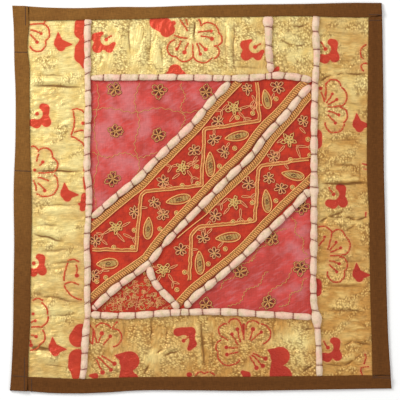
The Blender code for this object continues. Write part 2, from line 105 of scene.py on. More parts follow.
SEAMS = {
    "rim_left": [
        (-183.5, 189.2), (-184, 153), (-183, 110), (-181, 8), (-180.8, -50), (-182.8, -139), (-184.3, -191),
    ],
    "rim_top_a": [(-183.5, 189.2), (-118.2, 189.9)],
    "rim_top_b": [(-118.2, 189.9), (-64, 190.6), (-22, 192.2), (70.1, 192.9)],
    "rim_top_c": [(70.1, 192.9), (121.5, 193.2)],
    "rim_top_d": [(121.5, 193.2), (151, 192.6), (178.8, 192.5)],
    "rim_right": [
        (178.8, 192.5), (178.7, 145), (178.7, -2), (179.9, -30), (181, -107), (182.7, -160), (183, -189.6),
    ],
    "rim_bottom_a": [(-184.3, -191), (-125.5, -193.1)],
    "rim_bottom_b": [(-125.5, -193.1), (-95, -192), (-11, -191), (94, -190.4), (124.7, -190.1)],
    "rim_bottom_c": [(124.7, -190.1), (183, -189.6)],
    "left_a": [(-118.2, 189.9), (-119.1, 176), (-119, 150), (-118.9, 125.8)],
    "left_b": [(-118.9, 125.8), (-118.4, 95), (-119.4, 50), (-119.5, 34), (-117.4, 3), (-118.4, -24.5)],
    "left_c": [(-118.4, -24.5), (-119.9, -44), (-118.8, -81), (-119.5, -99), (-118.8, -122.5)],
    "left_d": [(-118.8, -122.5), (-120.2, -134), (-122.1, -165), (-123, -180), (-125.5, -193.1)],
    "right_a": [(121.5, 193.2), (120.4, 181), (121.6, 147), (119.9, 122.5)],
    "right_b": [(119.9, 122.5), (118.9, 73), (118.8, 12.5)],
    "right_c": [(118.8, 12.5), (118.7, -18), (118.5, -55), (118, -92), (118.8, -111), (121.5, -126)],
    "right_d": [(121.5, -126), (123.5, -155), (124.7, -190.1)],
    "top_a": [(-118.9, 125.8), (-95, 126.1), (-38, 126.5), (4, 125.9), (34.5, 125.5)],
    "top_b": [(34.5, 125.5), (52, 125.8), (73, 127.8)],
    "top_c": [(73, 127.8), (81, 128.3), (96, 127.1), (110, 124.8), (119.9, 122.5)],
    "short": [(70.1, 192.9), (70.9, 171), (71.6, 150), (73.1, 136), (73, 127.8)],
    "bottom_a": [(-118.8, -122.5), (-106, -123.4), (-69, -123.5), (-43, -121.6), (-20.8, -120.2)],
    "bottom_b": [(-20.8, -120.2), (31, -120), (67, -122.6), (88, -123.7), (121.5, -126)],
    "diagonal_upper": [
        (-118.4, -24.5), (-95.1, -4), (-79.6, 8.8), (-65.3, 20.5), (-53.2, 33.6), (-28.6, 58), (-2.2, 84.7),
        (8.9, 98.8), (20.9, 111.5), (34.5, 125.5),
    ],
    "diagonal_middle": [
        (119.9, 122.5), (103.8, 105.8), (93.1, 91.8), (66, 62), (55.3, 46.9), (27.5, 19.4), (-1.2, -10.3),
        (-27.2, -36.8), (-40.9, -52.2), (-53.2, -67.5),
    ],
    "diagonal_tail": [(-53.2, -67.5), (-62.6, -75.2), (-90.8, -96), (-104.1, -108), (-118.8, -122.5)],
    "diagonal_short": [
        (-53.2, -67.5), (-53, -79), (-49.5, -87), (-42.2, -96.6), (-29.8, -109.4), (-20.8, -120.2),
    ],
    "diagonal_lower": [
        (118.8, 12.5), (104.9, -1.9), (94.2, -13.3), (66.4, -39.5), (52.8, -53.6), (23.4, -79.9),
        (10, -90.9), (-3.4, -101.3), (-20.8, -120.2),
    ],
}

# Patches: the seams of their sides, counter-clockwise from the lower one; a minus takes a seam from its far
# end. Where there are three sides, the first is parted at its middle. Then the slack, the crinkles' height,
# and the way the crinkles run, in degrees from +X.
PATCHES = {
    "gold_left": ("rim_bottom_a / -left_d -left_c -left_b -left_a / -rim_top_a / rim_left", 0.7, 0.62, 2),
    "gold_top": ("top_a top_b / -short / -rim_top_b / left_a", 0.7, 0.62, 84),
    "gold_corner": ("top_c / -right_a / -rim_top_c / short", 0.6, 0.5, 5),
    "gold_right": ("rim_bottom_c / -rim_right / -rim_top_d / right_a right_b right_c right_d", 0.7, 0.7, -3),
    "gold_bottom": ("rim_bottom_b / -right_d / -bottom_b -bottom_a / left_d", 0.7, 0.7, 80),
    "pink_upper": ("diagonal_upper / -top_a / left_b", 0.6, 0.22, 50),
    "pink_lower": ("diagonal_lower / bottom_b / -right_c", 0.6, 0.25, 48),
    "band_upper": (
        "-diagonal_tail -diagonal_middle / -top_c -top_b / -diagonal_upper / left_c", 0.5, 0.25, 45,
    ),
    "band_lower": ("-diagonal_lower / -right_b / diagonal_middle / diagonal_short", 0.5, 0.25, 45),
    "zari_triangle": ("bottom_a / -diagonal_short / diagonal_tail", 0.4, 0.2, 20),
}

# Folds and creases of each patch: from, to, half width and height in millimetres; troughs have minus heights
CREASES = {
    "gold_left": [
        (-174, 128.5, -140, 129.5, 2.2, -0.8), (-176, 117.9, -126, 117, 2.6, -1.3),
        (-174, 123, -127, 122, 4, 1.5), (-170, 55.5, -130, 56.3, 3, 0.9), (-153, 33, -126, 31, 2.5, 1.3),
        (-176, 28, -125, 28.5, 1.8, -1.5), (-166, -14, -128, -12, 4, 1.2), (-176, -9, -125, -6, 2, -0.8),
        (-174, -29, -150, -28, 2, -0.8), (-177, -37, -143, -46, 2.2, -1.3), (-172, -33, -143, -41, 4, 1.3),
        (-170, -56, -135, -54, 2.4, -0.8), (-158, -69, -126, -66, 2, -0.9),
        (-177, -100, -126, -110, 2.4, -0.9), (-165, -116, -130, -119, 4, 1.0),
        (-160, -124, -128, -121, 2, -0.8), (-179, -157, -157, -159, 3.4, -1.5),
        (-172, -166, -148, -168, 4, 1.3), (-165, -175, -140, -178, 2, -0.8),
        (-170, 150, -130, 140, 2.4, -0.3),
    ],
    "gold_top": [
        (-76, 184, -74, 150, 2.0, -0.9), (-64, 181, -62, 136, 4, 1.0), (-60, 176, -66, 150, 1.6, -1.0),
        (-53, 186, -54, 140, 1.8, -0.8), (-45, 170, -46, 135, 3.4, 1.1), (-41, 160, -40, 140, 1.6, -0.9),
        (-6.5, 187, -6.5, 166, 1.8, -1.2), (29, 186, 31, 131, 3.0, 1.5), (25.5, 186, 27, 134, 1.6, -0.8),
        (34.5, 186, 35, 134, 2, -0.9), (31, 138, 64, 136.5, 1.8, -0.8), (-30, 160, -31, 135, 1.6, -0.7),
        (15, 186, 16, 178, 1.6, -0.6),
    ],
    "gold_corner": [
        (96, 179.5, 111, 181.8, 2.2, -1.1), (83, 166, 98, 160.5, 2.0, -1.0),
        (98, 160.5, 111, 161, 2.0, -1.0), (82, 171, 104, 167, 3.4, 1.1), (86, 152, 92, 140, 1.8, -0.8),
        (97, 150, 106, 138, 1.8, -0.8), (80, 156, 100, 153, 3.4, 1.0), (100, 151, 108, 139, 3, 0.8),
        (88, 178, 96, 173, 2.0, -0.6),
    ],
    "gold_right": [
        (125, 123, 138, 131, 1.8, -1.3), (138, 131, 151, 131, 1.8, -1.3), (151, 131, 176, 130, 1.8, -1.1),
        (129, 129, 151, 135, 3.4, 1.2), (137, 36, 165, 33, 1.8, -1.0), (166, 35, 167.5, 15.5, 1.6, -0.9),
        (126, 15, 175.6, 15.5, 2.2, -1.7), (128, 20.5, 171, 20, 3.6, 1.5),
        (124, -25.5, 133.5, -19.5, 1.8, -1.2), (133.5, -19.5, 152, -13, 1.8, -1.3),
        (133.5, -19.7, 152, -19.5, 1.6, -0.9), (152, -19.5, 163, -22.5, 1.8, -1.3),
        (163, -22.5, 176, -20, 1.8, -1.2), (140, -24, 171, -27, 3.6, 1.2),
        (151.4, -34, 164.5, -27, 1.6, -1.0), (130, -91, 171, -93, 2.6, -0.8), (128, -86, 171, -88, 4, 0.8),
        (132, -117, 172, -119, 2.4, -0.9), (130, -112, 172, -113, 4, 0.9), (149, -154, 160, -151, 1.6, -1.0),
        (160, -151, 180, -154, 1.8, -1.1), (128, -174, 149.5, -175.8, 1.8, -1.0),
        (149.5, -175.8, 161.5, -170.5, 1.8, -1.1), (161.5, -170.5, 168.5, -163.5, 1.8, -0.9),
        (146, -170, 160, -165, 3.4, 1.1), (128, 128, 131, 180, 2.6, 0.6), (130, 60, 172, 62, 2.2, -0.6),
        (128, 175, 172, 172, 2.0, -0.6), (150, -68, 174, -66, 2.0, -0.7), (128, 143, 168, 146, 2.4, -0.6),
        (150, 100, 174, 97, 2.4, -0.6),
    ],
    "gold_bottom": [
        (-60.5, -188, -50, -164.3, 2.0, -1.3), (-50, -164.3, -40, -159, 2.0, -1.3),
        (-40, -165, -22.3, -159.9, 2.0, -1.2), (-58, -178, -46, -158, 3.8, 1.6),
        (-40, -160.5, -24, -156, 3.4, 1.3), (-53, -128.2, -51.7, -151.7, 1.8, -1.1),
        (0, -126, 3.5, -180, 1.8, -1.4), (-4, -130, -1.5, -180, 3.4, 1.2),
        (105.7, -139, 119, -137, 1.8, -1.1), (105.7, -183.6, 119, -174.8, 1.8, -1.2),
        (97, -142, 112, -160, 5, 1.0), (100, -160, 110, -176, 4.5, 1.1), (75, -130, 78, -150, 2.0, -0.7),
        (-80, -129, -82, -150, 2.0, -0.7), (12, -134, 13, -176, 2.0, -0.7),
        (-36, -130, -36, -150, 1.8, -0.7), (-66, -132, -64, -160, 3.0, 0.8),
    ],
    "pink_upper": [(-88, 96, -52, 60, 8, 0.8), (-60, 80, -30, 110, 5, -0.4), (-110, 40, -80, 60, 6, 0.5)],
    "pink_lower": [(64, -74, 98, -46, 7, 0.8), (50, -95, 100, -50, 5, -0.5), (85, -110, 110, -85, 5, 0.5)],
    "band_upper": [(-70, 0, -50, 20, 8, 0.4), (20, 60, 45, 90, 8, 0.4), (-100, -60, -80, -40, 7, 0.4)],
    "band_lower": [(10, -50, 40, -25, 8, 0.4), (80, 10, 100, 40, 8, 0.4)],
}

# Red woven motifs of the gold brocade. Shapes are strokes (x, y, radius, x, y, radius) about a middle.
TULIP = [(-1.5, 1, 5.4, -2.4, 12, 0.7), (0, 0, 5.6, 12, -0.4, 0.7), (-2, 2.5, 4.6, 0.6, -3, 4.6)]
TREFOIL = [
    (6.2, 7, 4, 8.4, 5.6, 4.9), (8.4, 5.6, 4.9, 8.6, 1, 4.2), (8, -2, 4, 9.8, -8.8, 5.2),
    (6.5, -6, 3.8, 1, -8, 3.8), (-0.6, -10.2, 5.2, -5, -9.4, 4),
]
TREFOIL_TURNED = [
    (-10.6, 1.9, 5.3, -5.4, 5.4, 2.6), (-10.4, 1.5, 5.2, -8.6, -3.2, 4.2), (-8.8, -4, 4.4, -9.6, -9, 5.7),
    (-8, -7, 4.4, 1, -8, 3.6), (2.9, -9.3, 5.1, 7.8, -5, 2),
]
TREFOIL_UPTURNED = [
    (-6.4, 8.8, 4.4, -1, 9.4, 4.5), (-1, 9.4, 4.3, 7.6, 9, 5.2), (8, 9, 4.8, 8.6, 12, 1.8),
    (7.6, 8, 4.8, 8.6, 1, 3.2), (8.6, 1, 3.2, 9.6, -3.4, 4.4), (9.6, -3.4, 4.3, 6, -8.6, 2.4),
    (4, 6.4, 3, 7, 4, 3),
]

# Each placed as (shape, x, y, size)
SOLIDS = {
    "gold_left": [
        (TULIP, -147.5, 161.8, 1), (TREFOIL, -172, 88.6, 1), (TULIP, -140.8, 3.8, 1),
        (TREFOIL, -175.5, -68.5, 0.92), (TULIP, -153.4, -158.4, 1),
    ],
    "gold_top": [(TREFOIL_TURNED, -99, 167.1, 1), (TREFOIL_TURNED, 57.2, 159.1, 1)],
    "gold_right": [
        (TREFOIL, 130.9, 156.6, 1), (TULIP, 166.1, 76.8, 1), (TREFOIL, 139.5, 4.1, 1),
        (TULIP, 165.9, -80.6, 1), (TREFOIL, 133.5, -157, 1),
    ],
    "gold_bottom": [(TREFOIL_UPTURNED, -18, -149.5, 1)],
}

# Lobes and slivers of motifs that the cords and borders cut off, as strokes
CUT_MOTIFS = {
    "gold_left": [
        (-126.2, 183, 6.2, -126.2, 174.5, 6.9), (-126.2, 174.5, 6.9, -124.5, 166.5, 2.6),
        (-124.5, 166.5, 2.6, -125.6, 157, 6.8), (-125.6, 157, 6.8, -125.2, 149.2, 7.9),
        (-124.9, 149.2, 7.7, -123.2, 137.7, 1.5), (-128.9, -147, 9.6, -126, -140, 8),
        (-129.5, -168, 9.5, -130.5, -176, 9), (-130.5, -176, 9, -131.5, -187, 4),
        (-122.1, 21.1, 1.8, -120.5, 10.6, 2.5), (-122.1, 2.2, 3.5, -124.3, -11, 3),
        (-122.5, 29, 1, -121.5, 37, 0.7), (-128, -6, 1.2, -121, -12, 1),
    ],
    "gold_top": [
        (-46, 185, 8, -38.5, 181.5, 8.6), (-34.5, 131, 2, -27, 133.5, 7.2), (-27, 133.5, 7.2, -18, 131, 2),
        (-36, 176, 7, -33, 177, 6),
    ],
    "gold_corner": [(72.7, 132.4, 2, 76, 133.4, 1.4), (80.6, 136.1, 2.3, 78.5, 133.5, 2.6)],
    "gold_right": [
        (121.5, 66.5, 6, 121.5, 57.5, 6), (121, -90, 6, 121.5, -98, 5.5), (173.5, -15, 0.9, 173, -20, 0.7),
        (170, 36, 0.8, 174.5, 35, 0.9), (171, 31, 0.6, 174.5, 30, 0.6),
    ],
    "gold_bottom": [
        (-89.8, -165.4, 0.9, -80, -167.6, 6.6), (-75.4, -171, 10.2, -74.6, -171, 10.2),
        (-78.5, -178, 5.6, -77, -190, 9.5), (-77, -189, 9, -72, -190, 6.6),
        (70.7, -159.6, 0.9, 80, -163.5, 7.6), (83, -166, 9.9, 83.6, -166, 9.9),
        (78.6, -171, 4.4, 78, -184, 5.8), (84, -187.5, 11.8, 84.2, -187.5, 11.8),
        (44, -183, 2.2, 48, -186, 4.5), (-116, -186.5, 1.6, -111, -187, 3.4),
        (-112.9, -137.7, 0.9, -113.6, -153.2, 0.9), (44.8, -133.2, 1.6, 45.2, -146.9, 0.7),
        (-12.6, -185.4, 2.5, -11.6, -185.4, 2.5),
    ],
}

# Gold eyes left open in the motifs: x, y, radius; a red dot of radius EYE_DOT stands in each
EYE_DOT = 2.1
EYES = {
    "gold_left": [(-172, 88.6, 6), (-175.5, -68.5, 5.5)],
    "gold_top": [(-99.2, 166.7, 6.3), (57, 158.7, 6.5)],
    "gold_right": [(130.9, 156.6, 5.9), (139.5, 4.1, 5.9), (133.5, -157, 5.9)],
    "gold_bottom": [(-18, -149.8, 6)],
}

# Ends of the stamens: x, y, radius
DOTS = {
    "gold_left": [
        (-167.8, 172.9, 1.7), (-172, 163.9, 1.9), (-123.8, 78.7, 1.9), (-166, 37.9, 1.9), (-164, 7.9, 1.9),
        (-130.2, -81.3, 2.3), (-176.2, -121.6, 1.7), (-174, -128.9, 1.7), (-172.9, -145.5, 1.9),
        (-178.4, -154.6, 2.1), (-174.5, 29.5, 1.7),
    ],
    "gold_top": [
        (11, 175.5, 1.8), (11.6, 167.4, 2.3), (-0.5, 151.3, 1.9), (5, 156.2, 2.2), (-17.1, 153.2, 2.4),
        (-25.2, 156.6, 1.9), (-28.7, 183.9, 2.5),
    ],
    "gold_right": [
        (142.8, 103.6, 1.8), (138.1, 109.4, 1.6), (145, 87.4, 1.8), (141.3, 78.9, 1.8), (125.9, 115.3, 2),
        (130, -40.8, 1.6), (142.1, -46.4, 1.7), (146.9, -52.3, 1.7), (145.4, -68.9, 1.8),
        (142.8, -77.4, 1.7),
    ],
    "gold_bottom": [
        (-104, -142.1, 2.4), (-95.1, -145.1, 2), (-90.7, -173.9, 2.4), (-94.4, -180.5, 2.1),
        (-103.2, -183.1, 2.5), (38.5, -137.7, 2.1), (32.7, -142.9, 2), (54.8, -137.7, 2.3),
        (63.6, -140.7, 1.9), (26.8, -156.8, 2), (27.5, -164.3, 2.1), (68, -168.7, 2.4), (65.1, -176.1, 2.4),
        (58.5, -178.3, 2.4),
    ],
}

# Outlines of the brocade's flowers: from, to, and how far the line bulges to the left of its run
ARCS = {
    "gold_left": [
        (-179.5, 182.5, -165.5, 183.3, 0.4), (-165.5, 183.3, -162.3, 186.8, 0),
        (-163.2, 165.3, -165.5, 183, -5.6), (-179.8, 159.5, -163.2, 165.3, -8.4),
        (-179.3, 177, -168.5, 173.4, 0), (-179.3, 172.3, -172.5, 164.8, 0),
        (-134.8, 92.7, -122.4, 90.1, 2.2), (-134.2, 91.5, -133.2, 77, 0.5), (-133, 77, -136.4, 66, 0.2),
        (-136.8, 64.6, -122.4, 54.6, 2), (-133.1, 69.4, -121.8, 70.4, 1.4), (-178, 53.9, -171.4, 50.5, 2),
        (-171.4, 48.5, -155.9, 43.2, 6.8), (-155.9, 42.5, -155.3, 27.1, 5.3),
        (-171, 26.6, -155.3, 27.1, -0.6), (-170.6, 46.5, -172.3, 38.5, 0), (-170, 33.9, -166.6, 37, 0),
        (-153.9, 24.5, -172.6, 5.2, 13.5), (-171, 21.5, -160, 17.7, 1), (-171, 16, -164.5, 9, 0),
        (-176, 19, -172.5, 8, 0.5), (-139.9, -65.8, -127.9, -67.1, 2), (-139.9, -68, -143.2, -86.6, -1.2),
        (-131, -70, -130.5, -79, 0.4), (-143.2, -90.6, -127.9, -91.2, 2.4),
        (-143, -92, -125.4, -106.5, -3.5), (-176.9, -107.5, -165.9, -107.5, 1.8),
        (-167.4, -109.7, -160.8, -122.6, 2.2), (-160.5, -124, -169.6, -135.5, 3),
        (-178.4, -135.9, -169.6, -135.5, 0.2), (-166.6, -138.5, -169.6, -153.9, 4.5),
        (-169.6, -153.9, -179.3, -159.9, 2), (-178.5, -144, -173, -145.5, 0),
        (-178.5, -131.5, -174.5, -129, 0.4), (-179, -149, -178.2, -153.5, 0),
    ],
    "gold_top": [
        (0.2, 181.2, 18.6, 173.4, 7), (18.6, 173.4, 13.9, 159.7, 6), (13.9, 159.7, 13.9, 146.6, 5.5),
        (11.5, 147.6, -7.6, 148.5, 5.8), (-8.2, 161.8, -8.2, 148.5, 0), (-8.2, 149.2, -25.5, 148.7, 5.4),
        (-25.5, 148.7, -27.1, 166, 8.8), (-2.9, 174.4, 9.7, 175.5, 0), (0.2, 170.5, 11, 167.8, 0.4),
        (-4, 162.9, -0.5, 151.5, 0), (-1.9, 162.9, 4.2, 157, 0), (-13.4, 162.9, -16.8, 154.4, 0),
        (-20.8, 165, -24.6, 157.2, 0.3), (-21.8, 187, -14, 175.5, 0.4), (-15.5, 188.1, -14, 181.8, 0),
        (-98, 168, -93.5, 171, 0), (58.2, 159.6, 63.2, 161.8, 0), (-28, 171, -14, 168.5, -1),
        (0.2, 181.2, -3, 188, -1),
    ],
    "gold_right": [
        (131.5, 120.9, 130.9, 107.5, 0), (131.5, 119, 147, 117, 6.7), (147.2, 116.2, 147.6, 96.9, 6.1),
        (147.6, 96.9, 133.6, 95.9, 0.3), (145.4, 95.5, 149.8, 78.9, 6.6), (150.6, 78.1, 130.7, 79.6, 10.2),
        (133.6, 98.1, 142, 103.2, 0), (132.2, 99.6, 137.4, 108.4, 0), (133.6, 91.5, 144, 87.8, 0),
        (133.2, 87.7, 140.3, 80.2, 0), (126.2, 112.1, 130, 101.8, 0), (132.2, 112.1, 130, 101, 0),
        (121.8, -31.3, 137.3, -35.6, 3.6), (137.3, -34.5, 133.6, -54.1, 0.8),
        (138.1, -36.4, 151.3, -40.1, 5), (152, -40.8, 151.3, -59.3, 5.3), (151.3, -59.3, 135.9, -60.4, 0.3),
        (145.4, -61.5, 149.8, -77.2, 6.3), (151.3, -77.7, 132.9, -76.5, 11), (135.1, -54.9, 141.5, -47.1, 0),
        (135.9, -57.1, 146.2, -52.7, 0), (135.1, -65.2, 144.4, -68.4, 0), (134.4, -69.6, 141.8, -76.2, 0),
        (124, -50, 130, -42, 0), (174, 161.5, 170.4, 145.8, -4.5), (175.1, 141, 171.1, 133.7, -4.6),
        (130.2, 158, 126, 164.5, 0.4), (138.6, 5.4, 134.6, 11.4, 0.4), (132.8, -155.6, 128.8, -149.6, 0.4),
        (172.5, -163, 171.6, -174.5, 1.2), (168.5, -178.5, 177, -177.5, 0.8),
        (168.6, -178.8, 170, -187, -0.6),
    ],
    "gold_bottom": [
        (-116.6, -132.6, -113.6, -137.7, 0), (-110.7, -135.5, -94.5, -136.6, 4.6),
        (-111.4, -138.5, -109.2, -152.4, -0.5), (-93.7, -137, -92.2, -156.1, 9.9),
        (-87.8, -129.7, -92.9, -136.3, 0), (-118.8, -145.8, -114.2, -153.2, 0),
        (-107.7, -152.4, -104.2, -143.5, 0), (-102.5, -154.6, -95.5, -146, 0),
        (-104, -165.8, -91.9, -173, 0), (-108, -166.5, -95.5, -179, 0), (-110, -169.5, -103.5, -181.9, 0),
        (22.4, -145.8, 27.5, -132.2, 6.3), (29, -131.1, 41.6, -131.1, 4.6),
        (41.6, -131.1, 45.3, -148.8, 0.4), (47.5, -137.7, 61.4, -131.9, 6),
        (62.9, -131.9, 65.1, -153.2, 9.4), (21.2, -149.5, 18.7, -161.6, -4), (18, -162.1, 40.7, -169.5, -10),
        (51.1, -148.8, 54.4, -139.5, 0), (52.6, -150.2, 62.7, -141.6, 0), (41.2, -151.1, 39, -139.5, 0),
        (39.1, -154.2, 33.8, -144.8, 0), (39.1, -157.4, 28.6, -156.8, 0), (39.1, -161.6, 29.6, -163.7, 0),
        (54.8, -162.8, 66.5, -168.4, 0), (53.5, -164.5, 63.8, -174.8, 0), (51.5, -166, 57.8, -177, 0),
        (22.4, -145.8, 28.5, -149.5, 0.4), (-16.8, -149, -12.5, -145.5, 0), (-5.5, -186.5, 4, -184.5, 2.6),
        (4, -184.5, 14.5, -186, 2.4),
    ],
}

# Zari embroidery of the bands and pink patches, in millimetres: flowers of thread loops as (x, y)
FLOWERS = {
    "band_upper": [
        (48.9, 115.3), (80.7, 116.7), (18.3, 80.5), (13.7, 61.8), (25, 48.4), (-7.1, 50.3), (-39.3, 17.2),
        (-49.4, -4.2), (-39.3, -17.5), (-69.9, -14.3), (-110.8, -45), (-112.8, -81.5),
    ],
    "band_lower": [
        (107.8, 81.2), (76.4, 43), (71.5, 21.2), (84.2, 10.5), (50.1, 15.2), (14.9, -18.9), (2.7, -42),
        (14.1, -58), (-20.8, -54.7),
    ],
    "pink_upper": [
        (-90.3, 114.3), (-89.6, 70.1), (-44, 112.7), (-44.6, 66.5), (5.6, 111.3), (-92.4, 20),
    ],
    "pink_lower": [(74.7, -42.5), (41.5, -77.5), (104.9, -73.1), (71, -109.2), (5.5, -112.5), (106.8, -9.5)],
}

# Filled star flowers
STARS = {
    "band_upper": [(35.1, 94.5), (-19.8, 32.3), (-89, -31)],
    "band_lower": [(93.1, 61), (34.9, -4.2), (-38.9, -75.4)],
}

# Leaves and paisleys: tip, base and half width
LEAVES = {
    "band_upper": [
        (67, 114, 71.1, 94, 4.4), (25.4, 62.4, 50, 67.3, 4.6), (9.7, 48.5, 10.2, 22.6, 4.6),
        (-36.5, -4.4, -11, 1.2, 4.6), (-54.6, -20, -56, -43, 4.6), (-109.5, -69.5, -87, -68.2, 5.2),
    ],
    "band_lower": [
        (85, 26.4, 108.5, 21.8, 4.6), (68.2, 9, 70.5, -15, 4.6), (15.5, -42.5, 41.5, -40, 4.8),
        (-1.8, -55.5, -0.6, -80, 4.6),
    ],
}

# Ring stitches
RINGS = {
    "band_upper": [
        (38.4, 84.5), (54.6, 89.2), (79.1, 104.3), (35.7, 52.4), (19.6, 33.6), (-4.1, 33), (-3.2, 15.2),
        (-19.5, 13.3), (-25.5, -15.5), (-42.9, -32.3), (-69.9, -33.7), (-91.4, -51.7), (-71.9, -51.7),
        (-99.8, -83.5), (-109.1, -87.5),
    ],
    "band_lower": [
        (112.6, 61.8), (94.2, 40.3), (114.6, 45), (96.3, 11.3), (78.9, -2.8), (54.1, -4.8), (51.5, -23),
        (33.9, -24.8), (25.8, -53.3), (7.8, -69.1), (-17, -77.8), (-25.1, -96.2),
    ],
}

# Double lines that zig-zag along the bands
ZIGZAGS = {
    "band_upper": [
        (60.4, 122), (63, 80.5), (20.2, 73.1), (4.9, 71.5), (2.2, 12.2), (-57.9, 5.9), (-61, 3), (-67, -56),
        (-114, -55.1),
    ],
    "band_lower": [
        (114, 40), (64.3, 32.7), (61.6, 30), (58.3, -23.5), (55.9, -25.6), (-1.4, -31.3), (-8.7, -40),
        (-10.7, -86),
    ],
}

# Twigs as (x0, y0, x1, y1)
TWIGS = {
    "band_upper": [
        (41, 94, 52, 97), (52, 97, 56, 92), (40, 90, 46, 84), (36, 88, 30, 80), (28, 98, 22, 92),
        (-14, 33, -2, 40), (-14, 29, -9, 22), (-22, 26, -30, 20), (-25, 35, -31, 33), (-83, -30, -74, -25),
        (-81.3, -37.7, -71.2, -42.4), (-88, -37, -80, -46), (-94, -33, -103, -38), (14, 72, 14, 66),
        (-4, 44, -8, 38), (-64, -10, -56, -10), (-45, -8, -42, -14), (77, 110, 74, 102), (54, 108, 58, 100),
        (-104, -44, -98, -49), (-107, -79, -103, -76), (30, 58, 27, 54), (-30, 12, -36, 14),
    ],
    "band_lower": [
        (100.5, 54.7, 113.2, 53.7), (100.5, 53.7, 104.6, 42.3), (88, 55, 82, 48), (86, 62, 80, 58),
        (42.7, 1.7, 52.7, 1.2), (40.5, -2, 49, -10), (41.7, -10.9, 41.7, -20.9), (30, -10, 24, -17),
        (28, 0, 22, -6), (-33, -74, -24, -70), (-34, -80, -29, -88), (-42, -81, -46, -88),
        (-44, -73, -50, -72), (104, 74, 110, 68), (80, 38, 88, 36), (56, 14, 62, 20), (10, -24, 4, -32),
        (18, -52, 24, -46), (-15, -50, -10, -54), (7, -37, 12, -32), (72, 30, 76, 36),
    ],
}

# Thin vines of the pink patches, from and to
VINES = {
    "pink_upper": [
        (-109.5, 120, -110.5, -10), (-67, 121, -67, 26), (-18.7, 121, -18.7, 72), (-114, 92.5, 0, 92),
        (-114, 45.3, -42, 45),
    ],
    "pink_lower": [
        (55, -60, 20, -95), (88, -30, 50, -66), (60, -115, 112, -60), (95, -20, 112, -60),
        (30, -116, 72, -78), (112, -85, 84, -116),
    ],
}


def linear(colour):
    """The linear colour of an sRGB hex value."""
    share = [int(colour[i:i + 2], 16) / 255 for i in (1, 3, 5)]
    return [s / 12.92 if s <= 0.04045 else ((s + 0.055) / 1.055) ** 2.4 for s in share]


def length(label, detail, millimetres):
    """A property that holds a length, given in millimetres and kept in metres."""
    return FloatProperty(
        name=label, description=detail, default=millimetres * MM, min=0, unit="LENGTH", precision=5,
    )


def colour(label, detail, value):
    """A property that holds a colour, given as an sRGB hex value."""
    return FloatVectorProperty(
        name=label, description=detail, subtype="COLOR", size=3, min=0, max=1, default=linear(value),
    )


class CushionCoverSizes(bpy.types.PropertyGroup):
    """Sizes that a user would change"""

    gold_cell: length("Brocade step", "Distance between the points of a brocade patch", 1.15)
    silk_cell: length("Silk step", "Distance between the points of a silk patch", 1.35)
    plain_cell: length("Cotton step", "Distance between the points of a cotton strip", 1.6)
    cloth: length("Cloth thickness", "Thickness of the silk and brocade", 0.6)
    cotton: length("Cotton thickness", "Thickness of the turned-under brown cotton", 1.1)
    cord_width: length("Cord width", "Width of the padded cord between its ties", 7.4)
    cord_height: length("Cord height", "Height of the padded cord between its ties", 4.5)
    tie: length("Tie thread radius", "Radius of the maroon thread that couches the cords", 0.36)
    zari: length("Zari thread radius", "Radius of the embroidery's gold thread", 0.54)
    outline: length("Brocade line radius", "Half width of the red woven outlines", 0.92)
    braid_width: length("Braid width", "Width of the flat gold braid", 6.4)


